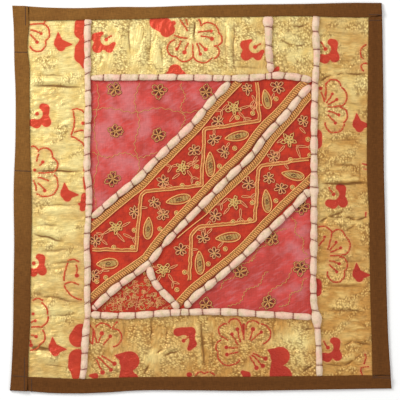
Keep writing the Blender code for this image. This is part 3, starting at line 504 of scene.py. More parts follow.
class CushionCoverColours(bpy.types.PropertyGroup):
    """Colours that a user would change"""

    gold_pale: colour("Brocade, lit", "Gold brocade where the weft catches the light", "#F0DB92")
    gold_mid: colour("Brocade", "Gold brocade seen square on", "#E5C676")
    # Mostly painted shade of the light falling off toward the bottom right, with uneven tone
    gold_deep: colour("Brocade, worn", "Gold brocade toward the right and bottom", "#C28C42")
    peach: colour("Brocade, peach", "Peach bloom beside the brocade's red outlines", "#DD9A62")
    # Painted highlight of the deeper brocade toward the bottom right
    gold_worn_lit: colour("Brocade, worn and lit", "Worn brocade where it catches the light", "#ECC474")
    # Painted shade in the brocade's creases and at the edges of its crumpled facets
    gold_shade: colour("Brocade, creases", "Gold brocade in its creases", "#7A4E18")
    motif_red: colour("Motif", "Red weft of the brocade's motifs", "#CF4427")
    # The red weft's deeper tone: mostly painted shade of the light falling off toward the bottom right, with
    # uneven tone
    motif_deep: colour("Motif, worn", "Red weft toward the right and bottom", "#AE2E1B")
    # Painted shade in the red weft's creases
    motif_crease: colour("Motif, creases", "Red weft in its creases", "#77210F")
    pink: colour("Pink silk", "Ground of the pink patches", "#C9443C")
    pink_deep: colour("Pink silk, deep", "Darker clouds of the pink silk", "#B53A30")
    rose: colour("Rose bloom", "Faded dusty rose clouds on the pink silk", "#C8706F")
    red: colour("Red silk", "Ground of the embroidered bands", "#BE300F")
    # Darker in soft clouds about 7 mm across
    red_deep: colour("Red silk, deep", "Red silk drawn in by the stitches", "#A02209")
    brown: colour("Brown cotton", "Borders and back", "#7E5526")
    # Painted shade of the light falling off toward the bottom right, and uneven fading
    brown_deep: colour("Brown cotton, worn", "Borders toward the right and bottom", "#643C19")
    # Painted shade along the folded edges at the corners, drawn as thin dark lines
    brown_fold: colour("Brown cotton, folds", "Folded edges at the corners", "#4E2E14")
    cord: colour("Cord cotton", "Off-white cotton of the padded cords", "#E6CAAE")
    cord_blush: colour("Cord, dyed", "Pinkish bloom on the cords", "#E8BCA6")
    cord_stain: colour("Cord, aged", "Faint greenish stains on the cords", "#D2BE97")
    # Painted shade where the cords are drawn in at their ties
    cord_pinch: colour("Cord at its ties", "Cotton drawn in under the couching thread", "#9C6C52")
    tie: colour("Tie thread", "Maroon couching thread", "#8F4034")
    zari: colour("Zari thread", "Gold wire thread of the embroidery", "#DA9B55")
    zari_bright: colour("Zari thread, bright", "Smooth gold cord of the zig-zags and braid edges", "#F6B266")
    zari_pink: colour("Copper thread", "Copper-pink thread of the petals", "#EFA268")
    zari_pale: colour("Pale thread", "Old gold thread of the stars and leaves", "#DDB768")
    zari_ribbon: colour("Copper ribbon", "Flat copper thread between the zig-zag's cords", "#C0672E")
    # Painted shadow under the gold loops and stars and painted shade inside the flowers, laid as dark thread;
    # it also draws a thin loop down each leaf
    zari_dark: colour("Dark thread", "Brown thread under the gold", "#6E2F0E")
    braid: colour("Braid ground", "Ground of the ladder braids", "#A8602A")
    braid_rung: colour("Braid rungs", "Gold thread of the ladder braids", "#F0AC5E")
    braid_dash: colour("Braid dashes", "Yellower gold thread of the ladder braids", "#E2B45A")


def sizes():
    """The sizes in millimetres, by name."""
    group = bpy.context.scene.cushion_cover_sizes
    return {name: getattr(group, name) / MM for name in CushionCoverSizes.__annotations__}


def colours():
    """The linear colours, by name."""
    group = bpy.context.scene.cushion_cover_colours
    return {name: tuple(getattr(group, name)) + (1,) for name in CushionCoverColours.__annotations__}


# Lines

def smooth_line(points, step):
    """Points about step apart on a curve through the given ones: cubic Hermite with central differences."""
    knots = np.array(points, float)
    along = np.concatenate([[0], np.cumsum(np.linalg.norm(np.diff(knots, axis=0), axis=1))])
    slope = np.gradient(knots, along, axis=0)
    at = np.linspace(0, along[-1], max(2, round(along[-1] / step) + 1))
    left = np.clip(np.searchsorted(along, at, "right") - 1, 0, len(knots) - 2)
    span = (along[left + 1] - along[left])[:, None]
    u = ((at - along[left])[:, None]) / span
    start = knots[left] * (1 + 2 * u) * (1 - u) ** 2 + knots[left + 1] * u**2 * (3 - 2 * u)
    return start + slope[left] * span * u * (1 - u) ** 2 - slope[left + 1] * span * u**2 * (1 - u)


def seam_line(names, step=2.0):
    """The named seams one after the other as one line, in the cover's own millimetres."""
    runs = []
    for name in names.split():
        line = smooth_line(SEAMS[name.lstrip("-")], step)
        runs.append(line[::-1] if name.startswith("-") else line)
    return np.concatenate([runs[0]] + [run[1:] for run in runs[1:]]) + MIDDLE


def distances(line):
    """How far along a line each of its points is."""
    return np.concatenate([[0], np.cumsum(np.linalg.norm(np.diff(line, axis=0), axis=1))])


def spread_evenly(line, count):
    """count points spread evenly along a line."""
    along = distances(line)
    at = np.linspace(0, along[-1], count)
    return np.stack([np.interp(at, along, line[:, k]) for k in range(line.shape[1])], axis=1)


def place_along(line, s):
    """Points and unit directions at the distances s along a line, which goes on straight past both ends."""
    along = distances(line)

    def place(at):
        inner = np.clip(at, 0, along[-1])
        point = np.stack([np.interp(inner, along, line[:, k]) for k in range(2)], axis=1)
        first, last = line[1] - line[0], line[-1] - line[-2]
        first, last = first / np.linalg.norm(first), last / np.linalg.norm(last)
        return point + np.minimum(at, 0)[:, None] * first + np.maximum(at - along[-1], 0)[:, None] * last

    ahead = place(s + 2) - place(s - 2)
    return place(s), ahead / np.linalg.norm(ahead, axis=1)[:, None]


def left_of(directions):
    """Directions turned a quarter to the left."""
    return np.stack([-directions[..., 1], directions[..., 0]], axis=-1)


def line_distance(points, line, closed=False):
    """How far each point is from a line, in pieces small enough for the memory."""
    a = line if closed else line[:-1]
    d = (np.roll(line, -1, axis=0) if closed else line[1:]) - a
    found = np.empty(len(points))
    for first in range(0, len(points), 4000):
        part = points[first:first + 4000]
        rel = part[:, None] - a
        t = np.clip((rel * d).sum(2) / np.maximum((d * d).sum(1), 1e-9), 0, 1)
        found[first:first + 4000] = np.linalg.norm(rel - t[..., None] * d, axis=2).min(1)
    return found


def within(line, points):
    """Whether each point lies in a closed line, by counting the sides to its right."""
    a, b = line, np.roll(line, -1, axis=0)
    x, y = points[:, :1], points[:, 1:]
    crosses = (a[:, 1] > y) != (b[:, 1] > y)
    level = np.where(b[:, 1] == a[:, 1], 1, b[:, 1] - a[:, 1])
    return (crosses & (x < a[:, 0] + (y - a[:, 1]) / level * (b[:, 0] - a[:, 0]))).sum(1) % 2 == 1


def noise(x, y, seed):
    """Smooth noise from 0 to 1: seeded random values on a unit lattice, blended by quintic weights."""
    table = np.random.default_rng(seed).random((96, 96))
    i, j = np.floor(x).astype(int), np.floor(y).astype(int)
    u, v = x - i, y - j
    u, v = u**3 * (10 - 15 * u + 6 * u * u), v**3 * (10 - 15 * v + 6 * v * v)
    low = table[i % 96, j % 96] * (1 - u) + table[(i + 1) % 96, j % 96] * u
    high = table[i % 96, (j + 1) % 96] * (1 - u) + table[(i + 1) % 96, (j + 1) % 96] * u
    return low * (1 - v) + high * v


# How the patches lie

def patch_sides(name):
    """The four sides of a patch: lower and upper from left to right, left and right upwards."""
    sides = [seam_line(part) for part in PATCHES[name][0].split("/")]
    if len(sides) == 3:
        half = len(sides[0]) // 2
        sides = [sides[0][:half + 1], sides[0][half:], sides[1], sides[2]]
    lower, right, upper, left = sides
    return lower, right, upper[::-1], left[::-1]


def patch_outline(name):
    """A patch's rim as one closed line, counter-clockwise."""
    lower, right, upper, left = patch_sides(name)
    return np.concatenate([lower[:-1], right[:-1], upper[::-1][:-1], left[::-1][:-1]])


def crinkles(points, angle, seed):
    """Crinkled cloth from -1 to 1: |2n - 1| of noise stretched along the angle, so tops are round and creases
    sharp; a finer layer and a slow one make it uneven."""
    turn = math.radians(angle)
    along = points @ [math.cos(turn), math.sin(turn)]
    across = points @ [-math.sin(turn), math.cos(turn)]
    slow, quick = noise(along / 16, across / 16, seed + 1), noise(along / 6, across / 7, seed + 5)
    across = across + 5 * slow + 2 * quick
    coarse = np.abs(2 * noise(along / 17, across / 5.2, seed) - 1) ** 0.8
    fine = np.abs(2 * noise(along / 8, across / 2.9, seed + 2) - 1) ** 0.9
    strength = 0.3 + 1.3 * noise(along / 30, across / 22, seed + 3)
    return (1.3 * (coarse - 0.45) + 1.1 * (fine - 0.45)) * strength


def creases(name, points, share=1.0):
    """Folds and creases: height * exp(-(distance / (share * width))^2) * sqrt(sin(pi t)) summed over them."""
    total = np.zeros(len(points))
    for x0, y0, x1, y1, width, height in CREASES.get(name, []):
        start, run = np.array([x0, y0]), np.array([x1 - x0, y1 - y0])
        rel = points - start
        t = np.clip(rel @ run / (run @ run), 0, 1)
        bend = 1.6 * (noise(t * 4, t * 0, 50 + int(abs(x0))) - 0.5)
        across = rel @ [-run[1], run[0]] / np.linalg.norm(run)
        beyond = np.linalg.norm(rel - t[:, None] * run, axis=1)
        gap = np.where((t > 0) & (t < 1), np.abs(across - bend), beyond)
        total = total + height * np.exp(-((gap / (share * width)) ** 2)) * np.sqrt(np.sin(np.pi * t))
    return total


def patch_relief(name, points):
    """The height over the patch's flat level: the slack's swell, the creases and the crinkles, all fading out
    under the trims."""
    _, slack, crinkle, angle = PATCHES[name]
    away = line_distance(points, spread_evenly(patch_outline(name), 260), closed=True) - RIM
    swell = slack * np.clip(away / SLACK_RISE, 0, 1) ** 0.7 + creases(name, points)
    ease = np.clip(away / FOLD_RISE, 0, 1)
    near = np.clip(away / CRINKLE_RISE, 0, 1)
    crinkled = crinkle * crinkles(points, angle, 100 + 10 * list(PATCHES).index(name))
    return swell * ease**2 * (3 - 2 * ease) + crinkled * near**2 * (3 - 2 * near)


def patch_height(relief):
    """The height of a patch's top face over the surface that the cover lies on."""
    return PATCH_TOP + np.maximum(relief, DEEPEST)


def strokes_distance(points, strokes):
    """The signed distance to tapered strokes: distance from the stroke's line less the radius there."""
    found = np.full(len(points), 50.0)
    for x0, y0, r0, x1, y1, r1 in strokes:
        start, run = np.array([x0, y0]), np.array([x1 - x0, y1 - y0])
        t = np.clip((points - start) @ run / max(run @ run, 1e-9), 0, 1)
        gap = np.linalg.norm(points - start - t[:, None] * run, axis=1) - (r0 + t * (r1 - r0))
        found = np.minimum(found, gap)
    return found


def motif_distance(name, points):
    """The signed distance to the patch's red motifs, with their eyes left open and the dots filled."""
    eyes = EYES.get(name, [])
    strokes = [
        (x + size * x0, y + size * y0, size * r0, x + size * x1, y + size * y1, size * r1)
        for shape, x, y, size in SOLIDS.get(name, [])
        for x0, y0, r0, x1, y1, r1 in shape
    ]
    found = strokes_distance(points, strokes + CUT_MOTIFS.get(name, []))
    for x, y, radius in eyes:
        found = np.maximum(found, radius - np.linalg.norm(points - [x, y], axis=1))
    dots = DOTS.get(name, []) + [(x, y, EYE_DOT) for x, y, _ in eyes]
    return np.minimum(found, strokes_distance(points, [(x, y, r, x + 0.01, y, r) for x, y, r in dots]))


# Meshes

def grid_quads(rows, columns):
    """The quads of a grid of points stored row by row, counter-clockwise seen from above."""
    r, c = np.divmod(np.arange((rows - 1) * (columns - 1)), columns - 1)
    a = r * columns + c
    return np.column_stack([a, a + 1, a + columns + 1, a + columns])


def facing_up(verts, quads):
    """The quads, turned over if they face down."""
    a, b, d = (verts.reshape(-1, 3)[quads[0][i]] for i in (0, 1, 3))
    return quads[:, ::-1] if np.cross(b - a, d - a)[2] < 0 else quads


def side_grid(sides, cell):
    """A grid between four sides by Coons' formula: P(u, v) = (1-v) lower(u) + v upper(u) + (1-u) left(v)
    + u right(v), less the bilinear blend of the corners."""
    lower, right, upper, left = sides
    columns = round(max(distances(lower)[-1], distances(upper)[-1]) / cell) + 1
    rows = round(max(distances(left)[-1], distances(right)[-1]) / cell) + 1
    u, v = np.linspace(0, 1, columns)[None, :, None], np.linspace(0, 1, rows)[:, None, None]
    lower, upper = (spread_evenly(line, columns)[None] for line in (lower, upper))
    left, right = (spread_evenly(line, rows)[:, None] for line in (left, right))
    across = (1 - v) * lower + v * upper + (1 - u) * left + u * right
    corners = (1 - u) * (1 - v) * lower[:, :1] + u * (1 - v) * lower[:, -1:]
    corners = corners + (1 - u) * v * upper[:, :1] + u * v * upper[:, -1:]
    return across - corners


def new_piece(name, verts, quads, material, uv=None):
    """A smooth mesh object from points in millimetres and quads, with a UV map where one is given."""
    mesh = bpy.data.meshes.new(name)
    mesh.from_pydata((np.asarray(verts).reshape(-1, 3) * MM).tolist(), [], np.asarray(quads).tolist())
    mesh.shade_smooth()
    mesh.materials.append(material)
    if uv is not None:
        mesh.uv_layers.new(name="UVMap").data.foreach_set("uv", np.asarray(uv, np.float32).ravel())
    obj = bpy.data.objects.new(name, mesh)
    bpy.context.scene.collection.objects.link(obj)
    return obj


def add_attribute(obj, name, values):
    """Gives each point of a piece a value that its material reads."""
    made = obj.data.attributes.new(name, "FLOAT", "POINT")
    made.data.foreach_set("value", np.asarray(values, np.float32).ravel())


def finish_piece(obj, slot, *nodes):
    """Puts the piece on the cover's body and hides the solids that it stands for; slot is not used."""
    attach(obj, "root")
    if nodes:
        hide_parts(*nodes)
    return obj


def thicken(obj, thickness):
    """Gives a sheet its thickness in millimetres, below its points."""
    solid = obj.modifiers.new("Thickness", "SOLIDIFY")
    solid.thickness = thickness * MM
    solid.offset = -1


def threads(paths, radius, sides=6, flat=1.0, across=None):
    """Threads laid along many paths at once. paths is (threads, points, 3); each ring is
    radius * (cos a * side + flat * sin a * up) round its point, where side is level and square to the path,
    or the given one. Returns the points, the quads with closed ends, and UVs: millimetres along, and turn."""
    paths = np.asarray(paths, float)
    count, points, _ = paths.shape
    ahead = np.gradient(paths, axis=1)
    ahead /= np.maximum(np.linalg.norm(ahead, axis=2, keepdims=True), 1e-9)
    if across is None:
        across = np.stack([ahead[..., 1], -ahead[..., 0], np.zeros((count, points))], axis=2)
        across /= np.maximum(np.linalg.norm(across, axis=2, keepdims=True), 1e-9)
    up = np.cross(across, ahead)
    angle = 2 * np.pi * np.arange(sides) / sides
    ring = np.cos(angle)[:, None] * across[:, :, None] + flat * np.sin(angle)[:, None] * up[:, :, None]
    verts = paths[:, :, None] + radius * ring
    base = (np.arange(count) * points * sides)[:, None, None]
    a = base + (np.arange(points - 1) * sides)[None, :, None]
    k, after = np.arange(sides)[None, None], (np.arange(sides) + 1) % sides
    tube = np.stack([a + k, a + sides + k, a + sides + after, a + after], axis=3).reshape(-1, 4)
    along = np.cumsum(np.linalg.norm(np.diff(paths, axis=1, prepend=paths[:, :1]), axis=2), axis=1)
    s, t = np.broadcast_arrays(along[:, :-1, None], along[:, 1:, None])
    s, t = (np.broadcast_to(value, (count, points - 1, sides)) for value in (s, t))
    v = np.broadcast_to(k / sides, s.shape)
    uv = np.stack([s, v, t, v, t, v + 1 / sides, s, v + 1 / sides], axis=3).reshape(-1, 2)
    fan = [(0, i, i + 1, i + 2) for i in range(1, sides - 2, 2)]
    first = base + np.array(fan)[None]
    last = first[..., ::-1] + (points - 1) * sides
    caps = np.concatenate([first, last]).reshape(-1, 4)
    uv = np.concatenate([uv, np.zeros((len(caps) * 4, 2))])
    return verts.reshape(-1, 3), np.concatenate([tube, caps]), uv


def joined(parts):
    """Several meshes as one: their points, quads and UVs."""
    start, quads = 0, []
    for verts, faces, _ in parts:
        quads.append(faces + start)
        start += len(verts)
    return np.concatenate([p[0] for p in parts]), np.concatenate(quads), np.concatenate([p[2] for p in parts])


def thread_piece(name, tubes, material, slot):
    """A finished piece of thread from its points, quads and UVs."""
    verts, quads, uv = tubes
    return finish_piece(new_piece(name, verts, quads, material, uv), slot)


def arcs(rows, points=18):
    """Circular arcs from (x0, y0) to (x1, y1) that bulge by their sagitta h to the left of the run:
    the half angle is 2 atan(2h / chord) and the radius (chord^2 / 4 + h^2) / 2h."""
    rows = np.array(rows, float)
    a, b, h = rows[:, :2], rows[:, 2:4], np.where(np.abs(rows[:, 4]) < 0.02, 0.02, rows[:, 4])
    chord = np.linalg.norm(b - a, axis=1)
    run = (b - a) / chord[:, None]
    left = left_of(run)
    radius = (chord**2 / 4 + h**2) / (2 * h)
    middle = (a + b) / 2 + (h - radius)[:, None] * left
    turn = 2 * np.arctan(2 * h / chord)[:, None] * np.linspace(-1, 1, points)
    side, out = radius[:, None] * np.sin(turn), radius[:, None] * np.cos(turn)
    return middle[:, None] + side[..., None] * run[:, None] + out[..., None] * left[:, None]


def laid_on(name, flat, lift):
    """Paths laid on a patch: (threads, points, 2) raised to the cloth's height and lift over it."""
    flat = np.asarray(flat, float)
    z = patch_height(patch_relief(name, flat.reshape(-1, 2))).reshape(flat.shape[:2]) + lift
    return np.concatenate([flat, z[..., None]], axis=2)


# Materials

def add_node(tree, kind, settings, links=None):
    """Adds a shader node; settings are its properties or input values, links its inputs' sources."""
    made = tree.nodes.new("ShaderNode" + kind)
    for key, value in settings.items():
        if isinstance(key, str) and hasattr(made, key):
            setattr(made, key, value)
        else:
            made.inputs[key].default_value = value
    for key, source in (links or {}).items():
        tree.links.new(getattr(source, "outputs", [source])[0], made.inputs[key])
    return made


def start_material(name, roughness, sheen=0.0, metallic=0.0, specular=0.5):
    """A material with an empty tree but for its shader and output."""
    material = bpy.data.materials.new(name)
    material.use_nodes = True
    tree = material.node_tree
    tree.nodes.clear()
    surface = add_node(tree, "BsdfPrincipled", {
        "Roughness": roughness, "Metallic": metallic, "Sheen Weight": sheen, "Sheen Roughness": 0.4,
        "Specular IOR Level": specular,
    })
    add_node(tree, "OutputMaterial", {}, {"Surface": surface})
    return material, tree, surface


def fade(tree, source, low, high, first, second, share=1.0):
    """The first colour turning into the second as a source rises from low to high, up to a share of it."""
    part = add_node(tree, "MapRange", {"From Min": low, "From Max": high, "To Max": share}, {"Value": source})
    shades = {6: first, 7: second}
    given = {key: value for key, value in shades.items() if not hasattr(value, "is_linked")}
    wired = {key: value for key, value in shades.items() if hasattr(value, "is_linked")}
    return add_node(tree, "Mix", {"data_type": "RGBA", **given}, {0: part, **wired}).outputs[2]


def woven_threads(tree, pitch, stretch=14.0):
    """Threads of a plain weave on Object coordinates: noise drawn out along X and along Y, a pitch apart.
    Real silk has 30 to 40 threads a centimetre; these are drawn coarser, so that they show."""
    place = add_node(tree, "TexCoord", {}).outputs["Object"]
    fine, long = 1 / (pitch * MM), 1 / (pitch * stretch * MM)
    noises = []
    for scale in ((fine, long, 1), (long, fine, 1)):
        drawn = add_node(tree, "Mapping", {"Scale": scale}, {"Vector": place})
        noises.append(add_node(tree, "TexNoise", {"Scale": 1.0, "Detail": 1.0}, {"Vector": drawn}))
    return add_node(tree, "Math", {"operation": "ADD"}, dict(enumerate(noises))), place


def cloud(tree, place, size, detail=2.0, turn=0.0, stretch=1.0):
    """Soft noise of a size in millimetres, drawn out by stretch along the way that turn gives."""
    scale = (size * stretch * MM, size * MM, size * MM)
    settings = {"vector_type": "TEXTURE", "Rotation": (0, 0, turn), "Scale": scale}
    mapped = add_node(tree, "Mapping", settings, {"Vector": place})
    return add_node(tree, "TexNoise", {"Scale": 1.0, "Detail": detail}, {"Vector": mapped})


def cloth_tint(tree, weave, ground, low, high):
    """A ground colour made darker and lighter by its threads, from low to high."""
    span = {"From Min": 0.75, "From Max": 1.25, "To Min": low, "To Max": high}
    slubs = add_node(tree, "MapRange", span, {"Value": weave})
    slubs = add_node(tree, "CombineColor", {}, {0: slubs, 1: slubs, 2: slubs})
    settings = {"data_type": "RGBA", "blend_type": "MULTIPLY", 0: 1.0}
    return add_node(tree, "Mix", settings, {6: ground, 7: slubs}).outputs[2]


def toward_corner(tree, place):
    """x less y in metres, which rises toward the bottom right corner; colours that follow it deepen there as
    painted shade of the light falling off from the upper left.
    """
    spot = add_node(tree, "SeparateXYZ", {}, {0: place})
    x, y = spot.outputs[:2]
    return add_node(tree, "Math", {"operation": "SUBTRACT"}, {0: x, 1: y})


def dress(tree, surface, shade, *bumps):
    """Gives the shader its colour and its bumps, laid over each other: height, strength and depth in mm."""
    tree.links.new(shade, surface.inputs["Base Color"])
    below = {}
    for height, strength, depth in bumps:
        settings = {"Strength": strength, "Distance": depth * MM}
        below = {"Normal": add_node(tree, "Bump", settings, {"Height": height, **below})}
    tree.links.new(below["Normal"].outputs[0], surface.inputs["Normal"])


def gold_brocade(c):
    """Silk brocade with a flat gold weft: pale in uneven clouds and tawny toward the bottom right, mostly as
    painted shade of the light falling off there; painted shade in its creases and painted highlights on their
    ridges;
    crumpled like foil in clusters of facets about 2 mm across, with painted shade at the facets' edges and
    painted glints at their middles; and a red supplementary weft that fills the motifs, takes the same
    painted shade, and leaves a peach bloom beside them and the outlines."""
    material, tree, surface = start_material("Gold zari brocade", 0.42, metallic=0.3, specular=0.35)
    place = add_node(tree, "UVMap", {"uv_map": "UVMap"}).outputs[0]
    relief, motif, age, fold, bloom, crushed = (
        add_node(tree, "Attribute", {"attribute_name": name}).outputs["Fac"]
        for name in ("relief", "motif", "age", "fold", "bloom", "crushed")
    )
    ribs = cloud(tree, place, 0.9, 1.0, 0, 9)
    cells = add_node(tree, "Mapping", {"Scale": (1 / (1.7 * MM), 1 / (2.4 * MM), 1)}, {"Vector": place})
    facets = add_node(tree, "TexVoronoi", {"Scale": 1.0}, {"Vector": cells})
    grain = cloud(tree, place, 2.6, 3.0, 0, 2.2)
    grain = add_node(tree, "Math", {"operation": "ADD"}, {0: ribs, 1: grain})
    crumpled = cloud(tree, place, 15, 2, 0.4, 1.6)
    crumpled = add_node(tree, "Math", {"operation": "ADD"}, {0: crumpled, 1: crushed})
    clusters = {"From Min": 0.4, "From Max": 0.6, "To Min": 0.15}
    clusters = add_node(tree, "MapRange", clusters, {"Value": crumpled})
    dents = add_node(tree, "Math", {"operation": "MULTIPLY"}, {0: facets, 1: clusters})
    glints = add_node(tree, "Math", {"operation": "SUBTRACT"}, {0: clusters, 1: facets})
    ground = fade(tree, cloud(tree, place, 12, 3), 0.4, 0.64, c["gold_mid"], c["gold_pale"])
    # Toward the bottom right the gold deepens, mostly as painted shade of the light falling off, with uneven
    # tone
    ground = fade(tree, age, 0, 1, ground, c["gold_deep"])
    # Painted highlight: a pale gold, deeper toward the bottom right, laid on the relief's tops and the folds'
    # ridges
    bright = fade(tree, age, 0, 1, c["gold_pale"], c["gold_worn_lit"])
    ground = fade(tree, relief, 0.3, 1.2, ground, bright, 0.7)
    ground = fade(tree, fold, 0.25, 1.1, ground, bright, 0.55)
    ground = fade(tree, bloom, 0.2, 1, ground, c["peach"], 0.5)
    ground = cloth_tint(tree, grain, ground, 1.1, 0.8)
    # Painted glints in the middles of the crumpled facets
    ground = fade(tree, glints, 0.45, 0.85, ground, bright, 0.9)
    # Painted shade: crease brown at the edges of the crumpled facets, in the relief's troughs and in the
    # creases
    ground = fade(tree, dents, 0.34, 0.8, ground, c["gold_shade"], 0.6)
    ground = fade(tree, relief, -0.45, -1.3, ground, c["gold_shade"], 0.75)
    ground = fade(tree, fold, -0.2, -0.9, ground, c["gold_shade"], 0.9)
    # The red weft deepens the same way, mostly as painted shade, and darkens in the creases as painted shade
    red = fade(tree, age, 0, 1, c["motif_red"], c["motif_deep"])
    red = fade(tree, fold, -0.2, -0.9, red, c["motif_crease"])
    dress(tree, surface, fade(tree, motif, 0.3, -0.3, ground, red), (dents, 0.7, 0.6), (grain, 0.6, 0.5))
    return material


def pink_silk(c):
    """Soft sari silk: rose pink with faded dusty clouds, most of them where the attribute faded is high, and
    gauzy slanting streaks where it is worn."""
    material, tree, surface = start_material("Pink sari silk", 0.6, sheen=0.05, specular=0.3)
    weave, place = woven_threads(tree, 0.7)
    faded = add_node(tree, "Attribute", {"attribute_name": "faded"}).outputs["Fac"]
    dusk, bloom = cloud(tree, place, 14, 3), cloud(tree, place, 19, 4, 0.7)
    kept = add_node(tree, "Math", {"operation": "SUBTRACT"}, {0: dusk, 1: faded})
    lost = add_node(tree, "Math", {"operation": "ADD"}, {0: bloom, 1: faded})
    ground = fade(tree, kept, 0.4, 0.62, c["pink"], c["pink_deep"])
    ground = fade(tree, lost, 0.48, 0.68, ground, c["rose"], 0.75)
    streaks = cloud(tree, place, 2.2, 2.0, math.radians(28), 5)
    ground = fade(tree, streaks, 0.52, 0.75, ground, c["rose"], 0.55)
    ground = cloth_tint(tree, weave, ground, 0.86, 1.1)
    dress(tree, surface, ground, (streaks, 0.35, 0.4), (weave, 0.25, 0.3))
    return material


def red_silk(c):
    """Plain red silk under the embroidery, darker in soft clouds about 7 mm across."""
    material, tree, surface = start_material("Red silk", 0.6, sheen=0.05, specular=0.3)
    weave, place = woven_threads(tree, 0.7)
    ground = fade(tree, cloud(tree, place, 7, 3), 0.42, 0.66, c["red"], c["red_deep"])
    ground = cloth_tint(tree, weave, ground, 0.84, 1.12)
    dress(tree, surface, ground, (cloud(tree, place, 3.2), 0.6, 0.8), (weave, 0.25, 0.3))
    return material


def brown_cotton(c):
    """Plain woven cotton, faded unevenly, and deeper brown toward the right and the bottom as painted shade
    of the light falling off from the upper left.
    """
    material, tree, surface = start_material("Brown cotton", 0.9, sheen=0.03, specular=0.12)
    weave, place = woven_threads(tree, 0.8, 8)
    # Painted shade: deeper toward the bottom right
    ground = fade(tree, toward_corner(tree, place), -0.24, -0.03, c["brown"], c["brown_deep"])
    ground = fade(tree, cloud(tree, place, 24, 3), 0.45, 0.75, ground, c["brown_deep"], 0.4)
    dress(tree, surface, cloth_tint(tree, weave, ground, 0.8, 1.16), (weave, 0.4, 0.3))
    return material


def cord_cotton(c):
    """Soft cotton over wadding: off-white, with a pink bloom from dyed cloth, faint greenish ageing, and
    painted shade where it is drawn in at its ties.
    """
    material, tree, surface = start_material("Padded cord cotton", 0.92, sheen=0.05, specular=0.2)
    weave, place = woven_threads(tree, 0.7, 5)
    pinch = add_node(tree, "Attribute", {"attribute_name": "pinch"}).outputs["Fac"]
    ground = fade(tree, cloud(tree, place, 11), 0.42, 0.62, c["cord"], c["cord_blush"])
    ground = fade(tree, cloud(tree, place, 5.5), 0.5, 0.64, ground, c["cord_stain"], 0.85)
    ground = fade(tree, pinch, 0, 1, ground, c["cord_pinch"])
    ground = cloth_tint(tree, weave, ground, 0.9, 1.06)
    dress(tree, surface, ground, (cloud(tree, place, 2.4), 0.7, 0.9), (weave, 0.3, 0.3))
    return material


def woven_outline(c):
    """The red supplementary weft where it runs as a line: matt, and broken up by the gold warp over it."""
    material, tree, surface = start_material("Red supplementary weft", 0.6, specular=0.3)
    weave, place = woven_threads(tree, 0.9, 3)
    # Painted shade: deeper red toward the bottom right
    red = fade(tree, toward_corner(tree, place), -0.3, 0.3, c["motif_red"], c["motif_deep"])
    red = fade(tree, weave, 0.98, 1.25, red, c["gold_deep"], 0.8)
    tree.links.new(red, surface.inputs["Base Color"])
    return material


def spun_thread(name, shade, roughness, metallic, pitch=1.2):
    """Twisted thread: stripes wind round it once in each pitch, in millimetres, on the thread's own UVs. The
    darker stripes are painted shade in the twist's grooves, where its bump sinks.
    """
    material, tree, surface = start_material(name, roughness, sheen=0.1, metallic=metallic)
    place = add_node(tree, "UVMap", {"uv_map": "UVMap"})
    spot = add_node(tree, "SeparateXYZ", {}, {0: place})
    wound = add_node(tree, "Math", {"operation": "MULTIPLY", 1: 1 / pitch}, {0: spot.outputs[0]})
    wound = add_node(tree, "Math", {"operation": "ADD"}, {0: wound, 1: spot.outputs[1]})
    wave = add_node(tree, "Math", {"operation": "PINGPONG", 1: 0.5}, {0: wound})
    # Painted shade: 0.62 of the colour in the twist's grooves
    dark = tuple(0.62 * value for value in shade[:3]) + (1,)
    dress(tree, surface, fade(tree, wave, 0, 0.36, dark, shade), (wave, 0.5, 0.2))
    return material


# Pieces

# How much more of each brocade patch is crumpled like foil
CRUSHED = {"gold_left": -0.05, "gold_top": 0.05, "gold_corner": 0.1, "gold_right": 0.03, "gold_bottom": 0.08}

# How much more or less each brocade patch turns to its deep, mostly painted-shade tone than its place tells
DEEPENING = {"gold_left": 0.02, "gold_top": 0.04, "gold_corner": -0.16, "gold_right": -0.03, "gold_bottom": 0.08}

# The middle of a painted sheen, where the brocade is made paler, and its width and height to either side
SHEEN_SPOT = (102, -160), (26, 30)

# Where the pink silk is faded: the least share, and the middles and radii of its pale places
FADED = {
    "pink_upper": (-0.03, [(-84, 44, 20), (-80, 108, 18), (-100, 70, 14), (-60, 76, 12)]),
    "pink_lower": (-0.09, [(98, -32, 26), (106, -66, 16), (92, -98, 10)]),
}

SLOTS = {"gold": "gold_brocade", "pink": "pink_silk", "band": "red_silk", "zari": "zari_ground"}


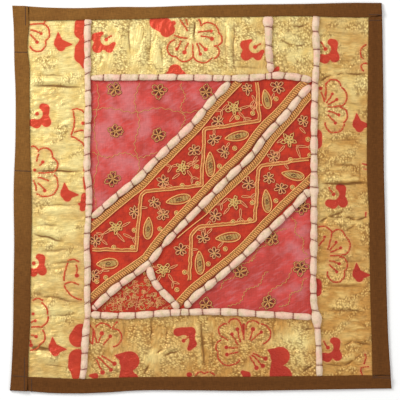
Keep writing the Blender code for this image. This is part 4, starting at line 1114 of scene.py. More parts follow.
def patch_cloth(name, cell, thickness, material):
    """A patch as a grid between its seams, raised by patch_height. Its UVs are metres along its crinkles and
    across them. Its attributes are relief, its height over the flat cloth, and faded on the pink silk. The
    brocade has motif, the signed distance to its red motifs; a measure of painted shade and uneven tone,
    which deepens toward the bottom right, shifts by patch and has a painted sheen taken out of it; fold, its
    creases drawn narrower; crushed, how crumpled it is; and bloom, how near a red line or motif is."""
    grid = side_grid(patch_sides(name), cell)
    flat = grid.reshape(-1, 2)
    relief = patch_relief(name, flat)
    verts = np.column_stack([flat, patch_height(relief)])
    quads = grid_quads(*grid.shape[:2])
    turn = math.radians(PATCHES[name][3])
    uv = flat @ [[math.cos(turn), -math.sin(turn)], [math.sin(turn), math.cos(turn)]] * MM
    obj = new_piece("cloth_" + name, verts, quads, material, uv[quads.ravel()])
    add_attribute(obj, "relief", relief)
    if name.startswith("gold"):
        motif = motif_distance(name, flat)
        add_attribute(obj, "motif", motif)
        # Painted shade that deepens toward the bottom right, where the light falls off, shifted for each
        # patch, less a painted sheen near the bottom right, and uneven cloudy tone
        toward = (flat[:, 0] - 0.9 * flat[:, 1]) / 420
        painted_sheen = 0.75 * np.exp(-(((flat - SHEEN_SPOT[0]) / SHEEN_SPOT[1]) ** 2).sum(1))
        cloudy = noise(flat[:, 0] / 26, flat[:, 1] / 15, 7)
        cloudy = cloudy + 0.5 * noise(flat[:, 0] / 9, flat[:, 1] / 6, 8) - 0.75
        add_attribute(obj, "age", np.clip(0.44 + toward + DEEPENING[name] - painted_sheen + 0.6 * cloudy, 0, 1))
        add_attribute(obj, "fold", creases(name, flat, 0.55))
        add_attribute(obj, "crushed", np.full(len(flat), CRUSHED[name]))
        gap = np.full(len(flat), 50.0)
        for line in arcs(ARCS[name], 7) if name in ARCS else ():
            gap = np.minimum(gap, line_distance(flat, line))
        bloom = np.maximum(np.exp(-((gap / 3.2) ** 2)), np.exp(-((motif / 1.5) ** 2)))
        add_attribute(obj, "bloom", bloom)
    if name in FADED:
        least, spots = FADED[name]
        faded = [np.exp(-((flat - [x, y]) ** 2).sum(1) / radius**2) for x, y, radius in spots]
        add_attribute(obj, "faded", least + 0.2 * np.max(faded, axis=0))
    thicken(obj, thickness)
    finish_piece(obj, SLOTS[name.split("_")[0]], "patch_" + name)
    return obj


class CUSHION_OT_gold_patches(bpy.types.Operator):
    """The five gold brocade patches with their red woven motifs"""

    bl_idname = "cushion.gold_patches"
    bl_label = "Gold Brocade Patches"

    def execute(self, context):
        s, c = sizes(), colours()
        cloth, weft = gold_brocade(c), woven_outline(c)
        for name in ("gold_left", "gold_top", "gold_corner", "gold_right", "gold_bottom"):
            if name in ARCS:
                flat = arcs(ARCS[name])
                spots = flat.reshape(-1, 2) / 3.1
                sway = np.column_stack([noise(*spots.T, 90), noise(*spots.T, 91)]) - 0.5
                paths = laid_on(name, flat + 0.9 * sway.reshape(flat.shape), 0.06)
                tubes = threads(paths, s["outline"], 6, 0.35)
                thread_piece("outlines_" + name, tubes, weft, "gold_brocade")
            patch_cloth(name, s["gold_cell"], s["cloth"], cloth)
        return {"FINISHED"}


def petals(rows, reach, width, count, turn, points=14):
    """Petal loops round each (x, y): reach * sin(pi t) outwards and width * sin(2 pi t) sideways, uneven as
    hand work is, with each petal's own size and a little wander."""
    rows = np.array(rows, float)
    t = np.linspace(0.03, 0.97, points)
    rng = np.random.default_rng(len(rows) + count)
    angle = turn + 2 * np.pi * np.arange(count) / count + 0.6 * rng.random((len(rows), 1))
    angle = (angle + 0.35 * (rng.random((len(rows), count)) - 0.5)).ravel()[:, None]
    size = (0.78 + 0.36 * rng.random(len(angle)))[:, None]
    out = size * reach * np.sin(np.pi * t) * (1 + 0.08 * rng.standard_normal((len(angle), points)))
    side = size * width * np.sin(2 * np.pi * t) * (1 + 0.2 * rng.random(len(angle)))[:, None]
    x = out * np.cos(angle) - side * np.sin(angle)
    y = out * np.sin(angle) + side * np.cos(angle)
    return np.repeat(rows, count, axis=0)[:, None] + np.stack([x, y], axis=2)


def circles(rows, radius, points=13):
    """Rings round each (x, y)."""
    turn = np.linspace(0, 2 * np.pi, points)
    return np.array(rows, float)[:, None] + radius * np.stack([np.cos(turn), np.sin(turn)], axis=1)[None]


def leaf_outlines(rows, share, points=30):
    """Leaf outlines from tip to base: (1 - cos a) / 2 of the length, and width * sin a * |sin(a/2)|^0.6
    aside; a share below 1 draws them in toward the leaf's middle."""
    rows = np.array(rows, float)
    turn = np.linspace(0, 2 * np.pi, points)
    tip, run = rows[:, :2], rows[:, 2:4] - rows[:, :2]
    long = np.linalg.norm(run, axis=1)[:, None]
    ahead = run / long
    along = long * (0.5 - share * 0.5 * np.cos(turn)[None] + 0.04 * (1 - share))
    side = share * rows[:, 4:5] * 1.25 * np.sin(turn) * np.abs(np.sin(turn / 2)) ** 0.6
    return tip[:, None] + along[..., None] * ahead[:, None] + side[..., None] * left_of(ahead)[:, None]


def leaf_fill(rows, count=13):
    """Slanting satin stitches across each leaf, as long as the leaf is wide there."""
    rows = np.array(rows, float)
    t = np.linspace(0.16, 0.9, count)[None, :, None]
    u = np.linspace(-1, 1, 5)[None, None]
    tip, run = rows[:, None, None, :2], (rows[:, 2:4] - rows[:, :2])[:, None, None]
    left = left_of(run) / np.linalg.norm(run, axis=-1, keepdims=True)
    wide = rows[:, 4][:, None, None] * 0.8 * np.sin(np.pi * t) ** 0.5 * (0.6 + 0.4 * t)
    along = (t + 0.035 * u)[..., None]
    paths = tip + along * run + (wide * u)[..., None] * left
    return paths.reshape(-1, 5, 2)


def worn_line(corners, count, seed):
    """A sewn line straight from corner to corner, with rounded corners and up to 0.5 mm of wander."""
    line = spread_evenly(np.array(corners, float), count)
    for _ in range(3):
        line[1:-1] = (line[:-2] + 2 * line[1:-1] + line[2:]) / 4
    at = np.arange(count) / 9
    return line + np.column_stack([noise(at, at * 0, seed), noise(at, at * 0, seed + 1)]) - 0.5


def beside(line, gap):
    """A line moved to its left by a gap."""
    ahead = np.gradient(line, axis=0)
    ahead /= np.linalg.norm(ahead, axis=1)[:, None]
    return line + gap * left_of(ahead)


def stitched(name, patch, parts, material, slot="gold_braid"):
    """Threads sewn on a patch as one piece; parts are (flat paths, radius, lift)."""
    tubes = [threads(laid_on(patch, paths, lift), radius, 5, 0.9) for paths, radius, lift in parts]
    return thread_piece(name, joined(tubes), material, slot)


def thread_materials(c):
    """The embroidery's threads: wire-wrapped gold, copper and pale silk, and a dark brown that is laid mostly
    as painted shadow and shade round the gold.
    """
    return {
        "gold": spun_thread("Zari thread", c["zari"], 0.42, 0.2),
        "bright": spun_thread("Bright zari cord", c["zari_bright"], 0.38, 0.25, 1.0),
        "copper": spun_thread("Copper zari thread", c["zari_pink"], 0.45, 0.15),
        "ribbon": spun_thread("Copper ribbon", c["zari_ribbon"], 0.6, 0.1, 0.7),
        "pale": spun_thread("Old gold silk thread", c["zari_pale"], 0.5, 0.12),
        "dark": spun_thread("Dark cotton thread", c["zari_dark"], 0.8, 0.0),
    }


def sprigs(rows, reach=7):
    """A narrow leaf along each twig, and at every other one's end two more, 40 degrees to either side."""
    rows = np.array(rows, float)
    heading = np.arctan2(rows[:, 3] - rows[:, 1], rows[:, 2] - rows[:, 0])
    leaves = [np.column_stack([rows[:, 2:4], rows[:, :2], np.full(len(rows), 1.0)])]
    for side in (-1, 1):
        turn = (heading + side * 0.7)[::2]
        ends = rows[::2, 2:4] + reach * np.column_stack([np.cos(turn), np.sin(turn)])
        leaves.append(np.column_stack([ends, rows[::2, 2:4], np.full(len(turn), 0.9)]))
    return leaf_outlines(np.concatenate(leaves), 1.0, 16)


def band_embroidery(name, radius, m):
    """Loop flowers, filled stars, leaves, ring stitches, sprigs and the double zig-zag line of a red band,
    which has a copper ribbon between its two bright cords. Dark brown thread lies under the loops and stars
    as painted shadow, in short petals inside the flowers as painted shade, and as a thin loop down each leaf."""
    zigzag = worn_line(ZIGZAGS[name], 340, 11)
    second = beside(zigzag, -2.7) + 0.25 * np.sin(np.arange(340) / 1.7)[:, None]
    leaves, stars, flowers, rings = LEAVES[name], STARS[name], FLOWERS[name], RINGS[name]
    star, loops = petals(stars, 8.2, 1.5, 5, 0.8), petals(flowers, 6.6, 1.5, 6, 0.3)
    heavy = radius * 1.1
    return [
        stitched("gold_" + name, name, [
            (zigzag[None], 0.72, 0.6), (second[None], 0.62, 0.55), (leaf_outlines(leaves, 1.0), 0.7, 0.55),
            (star, heavy, 0.6), (circles(rings, 2.2), heavy, 0.5),
        ], m["bright"]),
        stitched("copper_" + name, name, [
            (loops, radius, 0.55), (sprigs(TWIGS[name]), radius * 0.85, 0.5),
        ], m["copper"]),
        stitched("ribbon_" + name, name, [
            (beside(zigzag, -1.35)[None], 1.2, 0.0), (leaf_outlines(leaves, 0.86, 24), 0.45, 0.3),
        ], m["ribbon"]),
        stitched("pale_" + name, name, [
            (leaf_fill(leaves), 0.52, 0.45), (petals(stars, 4.6, 1.6, 5, 0.6), 0.62, 0.75),
            (circles(rings, 0.8, 8), 0.7, 0.55), (circles(flowers, 0.7, 8), 0.62, 0.95),
            (circles(stars, 0.7, 8), 0.7, 1.1),
        ], m["pale"]),
        # Painted shadow under the copper loops and the stars, painted shade in short dark petals inside the
        # flowers, and a thin dark loop down each leaf
        stitched("dark_" + name, name, [
            (petals(flowers, 4.6, 0.4, 6, 0.3, 8), 0.42, 0.5), (loops, radius + 0.3, 0.1),
            (leaf_outlines(leaves, 0.22, 12), 0.4, 0.85), (star, heavy + 0.4, 0.1),
        ], m["dark"]),
    ]


def vine_lines(rows, points=80):
    """Thin vines that wave to both sides of a straight run: 2.4 sin(4.2 pi t + 2 k), k being the vine's
    number, and 0.8 sin(26 pi t)."""
    rows = np.array(rows, float)
    t = np.linspace(0, 1, points)[None, :, None]
    run = rows[:, None, 2:4] - rows[:, None, :2]
    side = left_of(run) / np.linalg.norm(run, axis=-1, keepdims=True)
    bend = 2.4 * np.sin(2 * np.pi * 2.1 * t + 2 * np.arange(len(rows))[:, None, None])
    bend = bend + 0.8 * np.sin(2 * np.pi * 13 * t)
    return rows[:, None, :2] + t * run + bend * side


# The curls of the zari triangle: from where to where they start in x and in y, how far they keep from the
# rim, and the pitch and seed of each thread's
CURL_FIELD = (-112, -18), (-121, -68)
CURL_RIM = 3.5
CURLS = {"pale": (7.6, 41), "gold": (5.6, 42), "copper": (4.7, 43)}


def curls(pitch, seed, outline, points=13):
    """Curling threads scattered about a pitch apart, whose headings turn steadily and sway by 0.9 sin; those
    that come too near the outline are left out."""
    rng = np.random.default_rng(seed)
    start = np.stack(np.meshgrid(*(np.arange(*reach, pitch) for reach in CURL_FIELD)), axis=2).reshape(-1, 2)
    count = len(start)
    start = start + rng.uniform(-0.5, 0.5, (count, 2)) * pitch
    bend = rng.uniform(0.35, 0.8, (count, 1)) * rng.choice([-1, 1], (count, 1))
    step = np.arange(points)[None]
    sway = 0.9 * np.sin(step * rng.uniform(0.3, 0.8, (count, 1)) + rng.uniform(0, 6, (count, 1)))
    heading = rng.uniform(0, 6.3, (count, 1)) + bend * step + sway
    steps = 0.9 * np.stack([np.cos(heading), np.sin(heading)], axis=2)
    paths = start[:, None] + np.cumsum(steps, axis=1)
    flat = paths.reshape(-1, 2)
    clear = (line_distance(flat, outline, closed=True) > CURL_RIM) & within(outline, flat)
    return paths[clear.reshape(count, -1).all(axis=1)]


class CUSHION_OT_pink_patches(bpy.types.Operator):
    """The two pink silk patches with their gold flowers and thin vines"""

    bl_idname = "cushion.pink_patches"
    bl_label = "Pink Silk Patches"

    def execute(self, context):
        s, c = sizes(), colours()
        m = thread_materials(c)
        silk = pink_silk(c)
        for name in ("pink_upper", "pink_lower"):
            flowers = FLOWERS[name]
            loops = petals(flowers, 7.2, 2.2, 6, 0.2)
            made = [
                stitched("flowers_" + name, name, [
                    (loops, s["zari"], 0.5), (circles(flowers, 1.0, 8), 0.5, 0.6),
                ], m["gold"]),
                # Painted shadow under the gold loops, and painted shade in short dark petals inside the
                # flowers
                stitched("stitches_" + name, name, [
                    (loops, s["zari"] + 0.3, 0.1), (petals(flowers, 4.8, 0.6, 6, 0.2, 8), 0.5, 0.3),
                ], m["dark"]),
                stitched("vines_" + name, name, [(vine_lines(VINES[name]), 0.36, 0.2)], m["gold"]),
            ]
            patch_cloth(name, s["silk_cell"], s["cloth"], silk)
        return {"FINISHED"}


class CUSHION_OT_red_bands(bpy.types.Operator):
    """The two red bands with their zari embroidery"""

    bl_idname = "cushion.red_bands"
    bl_label = "Red Embroidered Bands"

    def execute(self, context):
        s, c = sizes(), colours()
        m = thread_materials(c)
        for name in ("band_upper", "band_lower"):
            made = band_embroidery(name, s["zari"], m)
            patch_cloth(name, s["silk_cell"], s["cloth"], red_silk(c))
        return {"FINISHED"}


class CUSHION_OT_zari_triangle(bpy.types.Operator):
    """The small triangle covered with curls of gold thread"""

    bl_idname = "cushion.zari_triangle"
    bl_label = "Zari Triangle"

    def execute(self, context):
        s, c = sizes(), colours()
        m = thread_materials(c)
        outline = spread_evenly(patch_outline("zari_triangle"), 160)
        for thread, (pitch, seed) in CURLS.items():
            parts = [(curls(pitch, seed, outline), 0.3, 0.3)]
            stitched("curls_" + thread, "zari_triangle", parts, m[thread], "zari_ground")
        patch_cloth("zari_triangle", s["silk_cell"], s["cloth"], red_silk(c))
        return {"FINISHED"}


def cover_sides():
    """The cover's outer edge as four sides that meet at the corners."""
    left, top, right, bottom = (
        smooth_line(line, 2) + MIDDLE for line in (LEFT_EDGE, TOP_EDGE, RIGHT_EDGE, BOTTOM_EDGE)
    )
    lower = np.concatenate([left[-1:], bottom])
    upper = np.concatenate([left[:1], top])
    return lower, np.concatenate([bottom[-1:], right[::-1], top[-1:]]), upper, left[::-1]


class CUSHION_OT_back_panel(bpy.types.Operator):
    """The plain back panel"""

    bl_idname = "cushion.back_panel"
    bl_label = "Back Panel"

    def execute(self, context):
        c = colours()
        grid = side_grid(cover_sides(), 4)
        flat = grid.reshape(-1, 2)
        verts = np.column_stack([flat, np.full(len(flat), BACK_TOP)])
        obj = new_piece("back_cloth", verts, grid_quads(*grid.shape[:2]), brown_cotton(c))
        thicken(obj, BACK_TOP)
        finish_piece(obj, "brown_cotton", "back_panel")
        return {"FINISHED"}


# Borders: inner edge, outer edge, and the width and height in metres that each was cut to
BORDERS = {
    "border_left": (LEFT_INNER, LEFT_EDGE, (0.0175, 0.405)),
    "border_top": (TOP_INNER, TOP_EDGE, (0.371, 0.0145)),
    "border_right": (RIGHT_INNER, RIGHT_EDGE, (0.018, 0.38)),
    "border_bottom": (BOTTOM_INNER, BOTTOM_EDGE, (0.382, 0.0145)),
}

# Folded edges that show at the corners, as lines on each border: thin raised lines whose dark brown is
# painted shade along the folds
FOLDS = {
    "border_left": [
        [(-184.2, 201.2), (-184, 181.5)], [(-185, -167.3), (-185.2, -203)],
        [(-198.2, -186.6), (-182.5, -187.6)], [(-196, 153.4), (-181.8, 153)], [(-196, 28.8), (-178.8, 28.2)],
    ],
    "border_top": [[(176.2, 192.8), (190, 192.4)]],
    "border_right": [[(180.6, -186.9), (198.6, -186.8)], [(176.4, 186.6), (190, 186.9)]],
    "border_bottom": [[(-177.6, -189.5), (-177.8, -203.6)], [(180, -188.4), (199, -188.9)]],
}


# A border's top across its width, from its lap over the patches to the cover's edge: share, and height
BORDER_RISE = [0, 0.04, 0.28, 0.62, 0.95, 1], [4.1, LAP_TOP, LAP_TOP, 3.0, EDGE_TOP, 2.5]


class CUSHION_OT_borders(bpy.types.Operator):
    """The four brown cotton strips round the patches"""

    bl_idname = "cushion.borders"
    bl_label = "Brown Borders"

    def execute(self, context):
        s, c = sizes(), colours()
        material = brown_cotton(c)
        # Painted shade along the folds, drawn in a dark brown
        folded = spun_thread("Folded brown edge", c["brown_fold"], 0.9, 0.0, 2.0)
        for seed, (name, (inner, outer, flat)) in enumerate(BORDERS.items()):
            run = np.linalg.norm(np.diff(np.array(inner), axis=0), axis=1).sum()
            count, rows = round(run / s["plain_cell"]) + 1, 18
            near, far = (spread_evenly(smooth_line(line, 1) + MIDDLE, count) for line in (inner, outer))
            t = np.linspace(0, 1, rows)[:, None]
            plan = near[None] + t[..., None] * (far - near)[None]
            top = np.interp(t, *BORDER_RISE)
            x, y = plan[..., 0], plan[..., 1]
            top = top + 0.35 * (noise(x / 14, y / 14, 60 + seed) - 0.5)
            top = top + 0.2 * (noise(x / 5, y / 5, 70 + seed) - 0.5)
            verts = np.concatenate([plan, top[..., None]], axis=2)
            obj = new_piece("cloth_" + name, verts, facing_up(verts, grid_quads(rows, count)), material)
            thicken(obj, s["cotton"])
            finish_piece(obj, "brown_cotton", name)
            lines = np.stack([spread_evenly(np.array(line, float), 16) for line in FOLDS[name]])
            cloth = verts.reshape(-1, 3)
            near = ((lines[:, :, None] - cloth[None, None, :, :2]) ** 2).sum(3).argmin(2)
            paths = np.concatenate([lines, cloth[near][..., 2:] + 0.02], axis=2)
            fold = thread_piece("folds_" + name, threads(paths, 0.42, 6, 0.45), folded, "brown_cotton")
        return {"FINISHED"}


# Cords: the seams that each lies over, how far it stops short of them at its start and end, and its ties,
# told by their x or their y
CORDS = {
    "cord_left": (
        "left_a left_b left_c left_d", 3.4, 3.6, "y",
        [181.9, 164.5, 147.8, 131, 112.9, 96.7, 78.4, 64.2, 45.9, 28.5, 11.7, -6.8, -19.6, -36.9, -54, -72.7,
         -91.2, -109.6, -126.3, -144.3, -162.8, -179.7],
    ),
    "cord_right": (
        "right_a right_b right_c right_d", 3.4, 3.6, "y",
        [174.8, 156, 138.7, 121, 101.4, 83.7, 65.2, 46.1, 27.6, 11.5, -8.8, -26.8, -44.2, -61.8, -80.7, -100,
         -118, -136.4, -154.9, -175.2],
    ),
    "cord_short": ("short", 3.4, 3.8, "y", [179.9, 160.1, 141.9]),
    "cord_top": (
        "top_a top_b top_c", 3.6, 3.8, "x",
        [-102.3, -84.5, -65.1, -44.9, -25.2, -7.5, 12.3, 23.6, 31.7, 50.6, 67.9, 74.3, 87.7, 105.1],
    ),
    "cord_bottom": (
        "bottom_a bottom_b", 3.6, 5.6, "x",
        [-105.3, -86.9, -68.6, -49.7, -31.9, -21.3, -12.4, 1.8, 20.6, 38.7, 57.5, 77.6, 96.9],
    ),
    "cord_diagonal_upper": (
        "diagonal_upper", 5.5, 6.5, "x", [-102.4, -87.4, -71.9, -58.6, -46.3, -34.2, -22.6, -8.5, 4.2, 15.3],
    ),
    "cord_diagonal_middle": (
        "diagonal_middle diagonal_tail", 7.0, 8.0, "x",
        [103.8, 93.1, 80.1, 66, 55.3, 42.1, 27.5, 13.7, -1.2, -14.8, -27.2, -40.8, -53.1, -69.3, -84, -97.3,
         -110.8],
    ),
    "cord_diagonal_short": ("diagonal_short", 4.8, 4.6, "y", [-86.2, -96.2, -109]),
    "cord_diagonal_lower": (
        "diagonal_lower", 6.5, 7.0, "x", [109.7, 97.7, 87.9, 73.2, 60, 45.9, 30.9, 16.1, 4.4, -11.3],
    ),
}

# How far a cord runs past the places given for its ends, and how much further where it is tucked in
END_REACH, TUCK_REACH = 0.8, 0.3

# How far its ties lie outside it and over it
TIE_OUT, TIE_OVER = 0.6, 0.15

# How far the ties of a cord lean along its run
LEANS = {"cord_left": -1.4, "cord_right": 0.8, "cord_bottom": 0.2}

# Where the padding bunches: the cord, how far along it, over what length, and how much wider it is
KNOTS = [
    ("cord_right", 321, 16, 1.55), ("cord_right", 184, 12, 1.75), ("cord_diagonal_lower", 13, 9, 1.2),
    ("cord_diagonal_middle", 237, 9, 0.62), ("cord_diagonal_short", 3, 9, 0.75), ("cord_short", 8, 18, 1.45),
    ("cord_short", 64, 6, 0.8), ("cord_top", 9, 10, 0.72), ("cord_left", 70, 12, 0.85),
]

# Which ends of a cord, first and last, run flat under a border instead of coming to a soft point
TUCKED = {"cord_left": (1, 1), "cord_right": (1, 1), "cord_short": (1, 0)}


def cord_points(name, step=1.1):
    """A cord's centre line, its directions, its distance along and the places of its ties."""
    seams, start, end, axis, ties = CORDS[name]
    whole = seam_line(seams, 1.5)
    total = distances(whole)[-1]
    count = round((total - start - end) / step) + 1
    first, last = TUCKED.get(name, (0, 0))
    low, high = start - END_REACH - TUCK_REACH * first, total - end + END_REACH + TUCK_REACH * last
    s = np.linspace(low, high, count)
    place, ahead = place_along(whole, s)
    told = place[:, "xy".index(axis)]
    order = np.argsort(told)
    at = np.sort(np.interp(ties, told[order], s[order]))
    return s, place, ahead, at, whole


def cord_sizes(name, s, at, wide, tall):
    """Half width, height and swell along a cord: full between the ties, drawn in at each as |sin|^0.5 of the
    phase, and coming to soft points at the ends, or only flatter where they are tucked in."""
    stops = np.concatenate([[s[0]], at, [s[-1]]])
    phase = np.interp(s, stops, np.arange(len(stops)))
    swell = np.abs(np.sin(np.pi * phase)) ** 0.5
    fullness = 0.7 + 0.3 * swell
    seed = 200 + list(CORDS).index(name)
    quick, slow = noise(s / 9, s * 0, seed), noise(s / 31, s * 0, seed + 9)
    fullness = fullness * (1 + 0.2 * (quick - 0.5) + 0.16 * (slow - 0.5))
    point, press = np.ones(len(s)), np.ones(len(s))
    for tucked, gap in zip(TUCKED.get(name, (0, 0)), (s - s[0], s[-1] - s)):
        rise = np.clip(gap / (2.5 if tucked else 5), 0, 1)
        rise = np.sqrt(np.clip(rise * (2 - rise), 0.03, 1))
        point, press = (point, press * rise) if tucked else (point * rise, press)
    fullness = fullness * point
    spread_out = np.ones(len(s))
    for cord, where, reach, width in KNOTS:
        if cord == name:
            spread_out += (width - 1) * np.exp(-(((s - where) / (reach / 2)) ** 2))
    return wide / 2 * fullness * spread_out, tall * fullness * press * spread_out**0.25, swell


def cord_section(angle):
    """A padded cord across its run, flat under and round on top: side = cos a (1 - 0.12 sin a), and
    up = 0.42 + 0.58 sin a over the middle or 0.42 (1 + sin a) under it."""
    side = np.cos(angle) * (1 - 0.12 * np.sin(angle))
    up = np.where(np.sin(angle) > 0, 0.42 + 0.58 * np.sin(angle), 0.42 * (1 + np.sin(angle)))
    return side, up


def cord_mesh(number, s, place, ahead, sizes_along, sides=22):
    """The points and quads of a padded cord: cord_section at each place, gathered by 0.35 sin(5 a + 0.7) at
    the ties and dented by noise."""
    half, tall, swell = sizes_along
    angle = 2 * np.pi * np.arange(sides) / sides
    side, up = cord_section(angle)
    gather = (1 - swell)[:, None] * 0.35 * np.sin(5 * angle + 0.7)[None] * (up > 0.2)
    dents = 0.5 * (noise(s[:, None] / 5, angle[None] * 1.6 + 9 * number, 80) - 0.5) * (up > 0.1)
    flat = place[:, None] + ((half[:, None] + gather + dents) * side)[..., None] * left_of(ahead)[:, None]
    z = TRIM_FOOT - 0.1 + (tall[:, None] + gather + dents) * up
    rows = (np.arange(len(s) - 1) * sides)[:, None]
    a, b = rows + np.arange(sides), rows + (np.arange(sides) + 1) % sides
    tube = np.stack([a, b, b + sides, a + sides], axis=2).reshape(-1, 4)[:, ::-1]
    fan = np.array([(0, i, i + 1, i + 2) for i in range(1, sides - 2, 2)])
    caps = np.concatenate([fan, fan[:, ::-1] + (len(s) - 1) * sides])
    return np.concatenate([flat, z[..., None]], axis=2), np.concatenate([tube, caps])


def tie_paths(number, name, whole, at, half, tall, points=11):
    """The ties over a cord, each leaning along the run, and the run's directions at their points."""
    rng = np.random.default_rng(300 + number)
    lean = LEANS.get(name, 0.8) + 1.8 * (rng.random(len(at)) - 0.5)
    turn = np.linspace(-0.12, np.pi + 0.12, points)
    side, up = cord_section(turn)
    along = at[:, None] + lean[:, None] * np.cos(turn)[None]
    spot, heading = (found.reshape(len(at), points, 2) for found in place_along(whole, along.ravel()))
    path = spot + ((half[:, None] + TIE_OUT) * side)[..., None] * left_of(heading)
    height = TRIM_FOOT + np.maximum((tall[:, None] + TIE_OVER) * up, 0.1)
    path = np.concatenate([path, height[..., None]], axis=2)
    return path, np.concatenate([heading, np.zeros((len(at), points, 1))], axis=2)


class CUSHION_OT_cords(bpy.types.Operator):
    """The nine padded cords with their couching ties"""

    bl_idname = "cushion.cords"
    bl_label = "Couched Cords"

    def execute(self, context):
        size, c = sizes(), colours()
        cotton = cord_cotton(c)
        maroon = spun_thread("Maroon cotton thread", c["tie"], 0.8, 0.0, 0.9)
        for number, name in enumerate(CORDS):
            s, place, ahead, at, whole = cord_points(name)
            half, tall, swell = cord_sizes(name, s, at, size["cord_width"], size["cord_height"])
            verts, quads = cord_mesh(number, s, place, ahead, (half, tall, swell))
            obj = new_piece("padded_" + name, verts, quads, cotton)
            # Painted shade at the ties: highest where the cord is drawn in, 0 over its full middle
            add_attribute(obj, "pinch", np.repeat(np.clip(0.9 - 1.6 * swell, 0, 1), verts.shape[1]))
            finish_piece(obj, "padded_cord", name)
            half, tall = np.interp(at, s, half), np.interp(at, s, tall)
            path, run = tie_paths(number, name, whole, at, half, tall)
            thread_piece("ties_" + name, threads(path, size["tie"], 4, 1.0, run), maroon, "padded_cord")
        return {"FINISHED"}


# Braids beside the cords: cord, side (1 is left of the run), start and end along it, and the centre line's
# offsets from it, evenly spaced
BRAIDS = {
    "braid_upper_a": ("cord_diagonal_upper", -1, -6.5, 196, (8.0, 8.6, 8.2, 7.3, 7.3)),
    "braid_upper_b": ("cord_diagonal_middle", -1, 3, 312, (7.4, 9.6, 9.6, 9.4, 7.6, 10.2)),
    "braid_lower_a": ("cord_diagonal_middle", 1, 8.5, 158, (7.3, 7.3, 8.6, 8.8, 7.4)),
    "braid_lower_b": ("cord_diagonal_lower", -1, -7.5, 170, (8.6, 10.8, 8.8, 8.2, 9.2, 8.9)),
}

# How far along its cord's seams each braid's distances start from
TRIMS = {"cord_diagonal_upper": 8.0, "cord_diagonal_middle": 9.4, "cord_diagonal_lower": 9.4}

# How far a braid's edge cord runs on past its end, and how far it draws in to the padded cord there
EDGE_LEADS = {"braid_lower_a": (40, 4.6)}

# A braid's thickness, how far it runs in under its cord, and how near another cord it is tucked away
BRAID_THICK = 0.55
BRAID_UNDER = 1.7
CORD_COVERS = 3.1


def braid_places(name, along, across):
    """Points in a braid: across runs outwards from its centre line, and along follows the cord. The centre
    line is the cord's, moved square to it by an offset that changes evenly between the ones given."""
    cord, side, start, end, offsets = BRAIDS[name]
    along, across = np.broadcast_arrays(along, across)
    place, ahead = place_along(seam_line(CORDS[cord][0], 3), along.ravel() + TRIMS[cord])
    away = np.interp(along.ravel(), np.linspace(start, end, len(offsets)), offsets) + across.ravel()
    return (place + away[:, None] * (side * left_of(ahead))).reshape(along.shape + (2,))


def braid_reach(name, across, beyond=13):
    """From where to where a braid runs at each distance across: up to the cords that it is tucked under."""
    cord, _, start, end, _ = BRAIDS[name]
    others = [seam_line(seams, 3) for other, (seams, *_) in CORDS.items() if other != cord]
    s = np.arange(start - beyond, end + beyond, 0.5)
    flat = braid_places(name, s[None], np.asarray(across, float)[:, None]).reshape(-1, 2)
    gap = np.min([line_distance(flat, line) for line in others], axis=0).reshape(len(across), -1)
    blocked, middle = gap < CORD_COVERS, len(s) // 2
    first = np.array([s[:middle][row[:middle]].max(initial=s[0]) for row in blocked])
    last = np.array([s[middle:][row[middle:]].min(initial=s[-1]) for row in blocked])
    return first, last


def braid_threads(name, along, across, lift, radius):
    """Short threads over the braid, kept where they are clear of the cords."""
    along, across, lift = np.broadcast_arrays(along, across, lift)
    plan = braid_places(name, along, across)
    first, last = braid_reach(name, [across.min(), across.max()])
    t = (across - across.min()) / max(across.max() - across.min(), 1e-6)
    inside = along > first[0] + t * (first[1] - first[0]) + 0.8
    inside = inside & (along < last[0] + t * (last[1] - last[0]) - 0.8)
    paths = np.concatenate([plan, TRIM_FOOT + 0.35 + lift[..., None]], axis=2)[inside.all(axis=1)]
    return threads(paths, radius, 5, 0.8)


def braid_ladder(name, low, high):
    """The rungs of a braid, 2.3 mm apart with a little wander, and the dashes between them near its edge."""
    rung = np.arange(low, high, 2.3)[:, None]
    rung = rung + 0.6 * (noise(rung / 3, rung * 0, 65) - 0.5)
    t = np.linspace(-1, 1, 7)[None]
    reach = 2.1 + 0.6 * (noise(rung / 2, rung * 0, 66) - 0.5)
    arch, hump = 0.25 + 0.5 * np.sqrt(1 - 0.9 * t**2), 0.3 + 0.35 * (1 - t**2)
    rungs = braid_threads(name, rung + 0.4 * t, -1.5 + reach * t, arch, 0.88)
    return rungs, braid_threads(name, rung + 1.1 + 0.6 * t, 1.35 + 0.2 * np.cos(3 * t), hump, 0.5)


def braid_edge(name, across, step=1.5):
    """The cord along a braid's outer edge, which may run on past the braid and draws in there."""
    first, last = (value[0] for value in braid_reach(name, [across]))
    lead, drawn = EDGE_LEADS.get(name, (0, 0))
    s = np.linspace(first, last + lead, round((last + lead - first) / step))
    inward = drawn * np.clip((s - last) / max(lead, 1), 0, 1)
    edge = braid_places(name, s, across - 0.45 - inward + 0.3 * (noise(s / 11, s * 0, 67) - 0.5))
    edge = np.column_stack([edge, np.full(len(s), TRIM_FOOT + 0.75)])
    return threads(edge[None], 0.56, 6, 1.0)


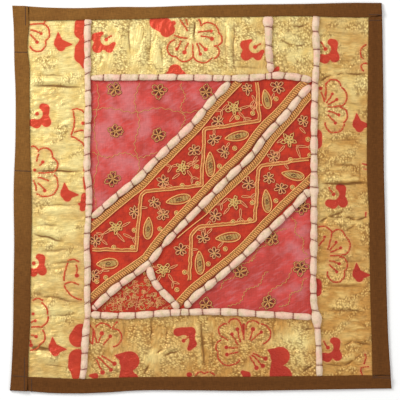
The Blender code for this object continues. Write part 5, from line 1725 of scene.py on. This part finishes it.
class CUSHION_OT_braids(bpy.types.Operator):
    """The four gold ladder braids beside the diagonal cords"""

    bl_idname = "cushion.braids"
    bl_label = "Gold Ladder Braids"

    def execute(self, context):
        size, c = sizes(), colours()
        ground = spun_thread("Braid ground", c["braid"], 0.7, 0.0, 0.8)
        gold = spun_thread("Gold braid thread", c["braid_rung"], 0.42, 0.2, 0.8)
        yellow = spun_thread("Old gold thread", c["braid_dash"], 0.42, 0.2, 0.8)
        bright = spun_thread("Gold edge cord", c["zari_bright"], 0.38, 0.2, 1.0)
        half, columns = size["braid_width"] / 2, 9
        for name in BRAIDS:
            across = np.linspace(-half - BRAID_UNDER, half, columns)
            first, last = braid_reach(name, across)
            count = round((last - first).max() / 1.6)
            along = first + np.linspace(0, 1, count)[:, None] * (last - first)
            plan = braid_places(name, along, across[None])
            top = TRIM_FOOT + BRAID_THICK + 0.1 * np.sqrt(1 - np.linspace(-0.95, 0.95, columns) ** 2)
            top = np.broadcast_to(top[None, :, None], plan.shape[:2] + (1,))
            verts = np.concatenate([plan, top], axis=2)
            quads = facing_up(verts, grid_quads(count, columns))
            uv = np.stack([along, np.broadcast_to(across / 6, along.shape)], axis=2).reshape(-1, 2)
            base = new_piece("strip_" + name, verts, quads, ground, uv[quads.ravel()])
            thicken(base, BRAID_THICK)
            finish_piece(base, "gold_braid", name)

            rungs, dashes = braid_ladder(name, first.min(), last.max())
            thread_piece("rungs_" + name, rungs, gold, "gold_braid")
            thread_piece("dashes_" + name, dashes, yellow, "gold_braid")
            thread_piece("edge_" + name, braid_edge(name, half), bright, "gold_braid")
        return {"FINISHED"}


# The camera: focal length and sensor width in millimetres, the width of the view in metres at the cover's
# level, that level, and the point that it looks straight down at
LENS, SENSOR = 180, 36
VIEW_WIDTH = 0.42
VIEW_LEVEL = 0.004
VIEW_MIDDLE = -0.00084, -0.00197

# The area lights: name, place, size in metres and power in watts
LIGHTS = (("Key", (-0.95, 0.75, 1.0), 0.7, 17.0), ("Fill", (0.9, -0.3, 1.4), 1.4, 7.0))


class CUSHION_OT_stage(bpy.types.Operator):
    """The pale floor, the soft studio light and the camera"""

    bl_idname = "cushion.stage"
    bl_label = "Floor, Light and Camera"

    def execute(self, context):
        scene = context.scene
        corners = 2500 * np.array([(-1, -1, 0), (1, -1, 0), (1, 1, 0), (-1, 1, 0)])
        new_piece("floor", corners, [(0, 1, 2, 3)], self.paper())
        world = bpy.data.worlds.new("Studio")
        world.use_nodes = True
        sky = world.node_tree.nodes["Background"]
        sky.inputs["Color"].default_value = (1, 1, 1, 1)
        sky.inputs["Strength"].default_value = 0.55
        scene.world = world
        for name, place, size, power in LIGHTS:
            lamp = bpy.data.lights.new(name, "AREA")
            lamp.energy, lamp.size = power, size
            obj = bpy.data.objects.new(name, lamp)
            obj.location = place
            obj.rotation_euler = (-Vector(place)).to_track_quat("-Z", "Y").to_euler()
            scene.collection.objects.link(obj)
        lens = bpy.data.cameras.new("Camera")
        lens.lens, lens.sensor_width = LENS, SENSOR
        lens.clip_end = 20
        camera = bpy.data.objects.new("Camera", lens)
        camera.location = (*VIEW_MIDDLE, VIEW_WIDTH * LENS / SENSOR + VIEW_LEVEL)
        scene.collection.objects.link(camera)
        scene.camera = camera
        scene.view_settings.view_transform = "Standard"
        return {"FINISHED"}

    def paper(self):
        """Matt white backdrop paper."""
        material, tree, surface = start_material("White backdrop paper", 0.9, specular=0.2)
        surface.inputs["Base Color"].default_value = (*linear("#FBFBFA"), 1)
        return material


class CUSHION_PT_cover(bpy.types.Panel):
    """Lists the cover's sizes, colours and the steps that make it"""

    bl_idname = "CUSHION_PT_cover"
    bl_label = "Cushion Cover"
    bl_space_type = "VIEW_3D"
    bl_region_type = "UI"
    bl_category = "Cushion Cover"

    def draw(self, context):
        for operator in OPERATORS:
            self.layout.operator(operator.bl_idname)
        for group in (context.scene.cushion_cover_sizes, context.scene.cushion_cover_colours):
            box = self.layout.box()
            for name in type(group).__annotations__:
                box.prop(group, name)


OPERATORS = (
    CUSHION_OT_back_panel,
    CUSHION_OT_gold_patches,
    CUSHION_OT_pink_patches,
    CUSHION_OT_red_bands,
    CUSHION_OT_zari_triangle,
    CUSHION_OT_borders,
    CUSHION_OT_cords,
    CUSHION_OT_braids,
    CUSHION_OT_stage,
)
CLASSES = (CushionCoverSizes, CushionCoverColours, *OPERATORS, CUSHION_PT_cover)


def register():
    """Registers the classes and gives the scene its sizes and colours."""
    for item in CLASSES:
        bpy.utils.register_class(item)
    bpy.types.Scene.cushion_cover_sizes = PointerProperty(type=CushionCoverSizes)
    bpy.types.Scene.cushion_cover_colours = PointerProperty(type=CushionCoverColours)


def unregister():
    """Undoes register."""
    del bpy.types.Scene.cushion_cover_sizes
    del bpy.types.Scene.cushion_cover_colours
    for item in reversed(CLASSES):
        bpy.utils.unregister_class(item)


def main():
    register()
    for operator in OPERATORS:
        group, name = operator.bl_idname.split(".")
        getattr(getattr(bpy.ops, group), name)()


if __name__ == "__main__":
    main()
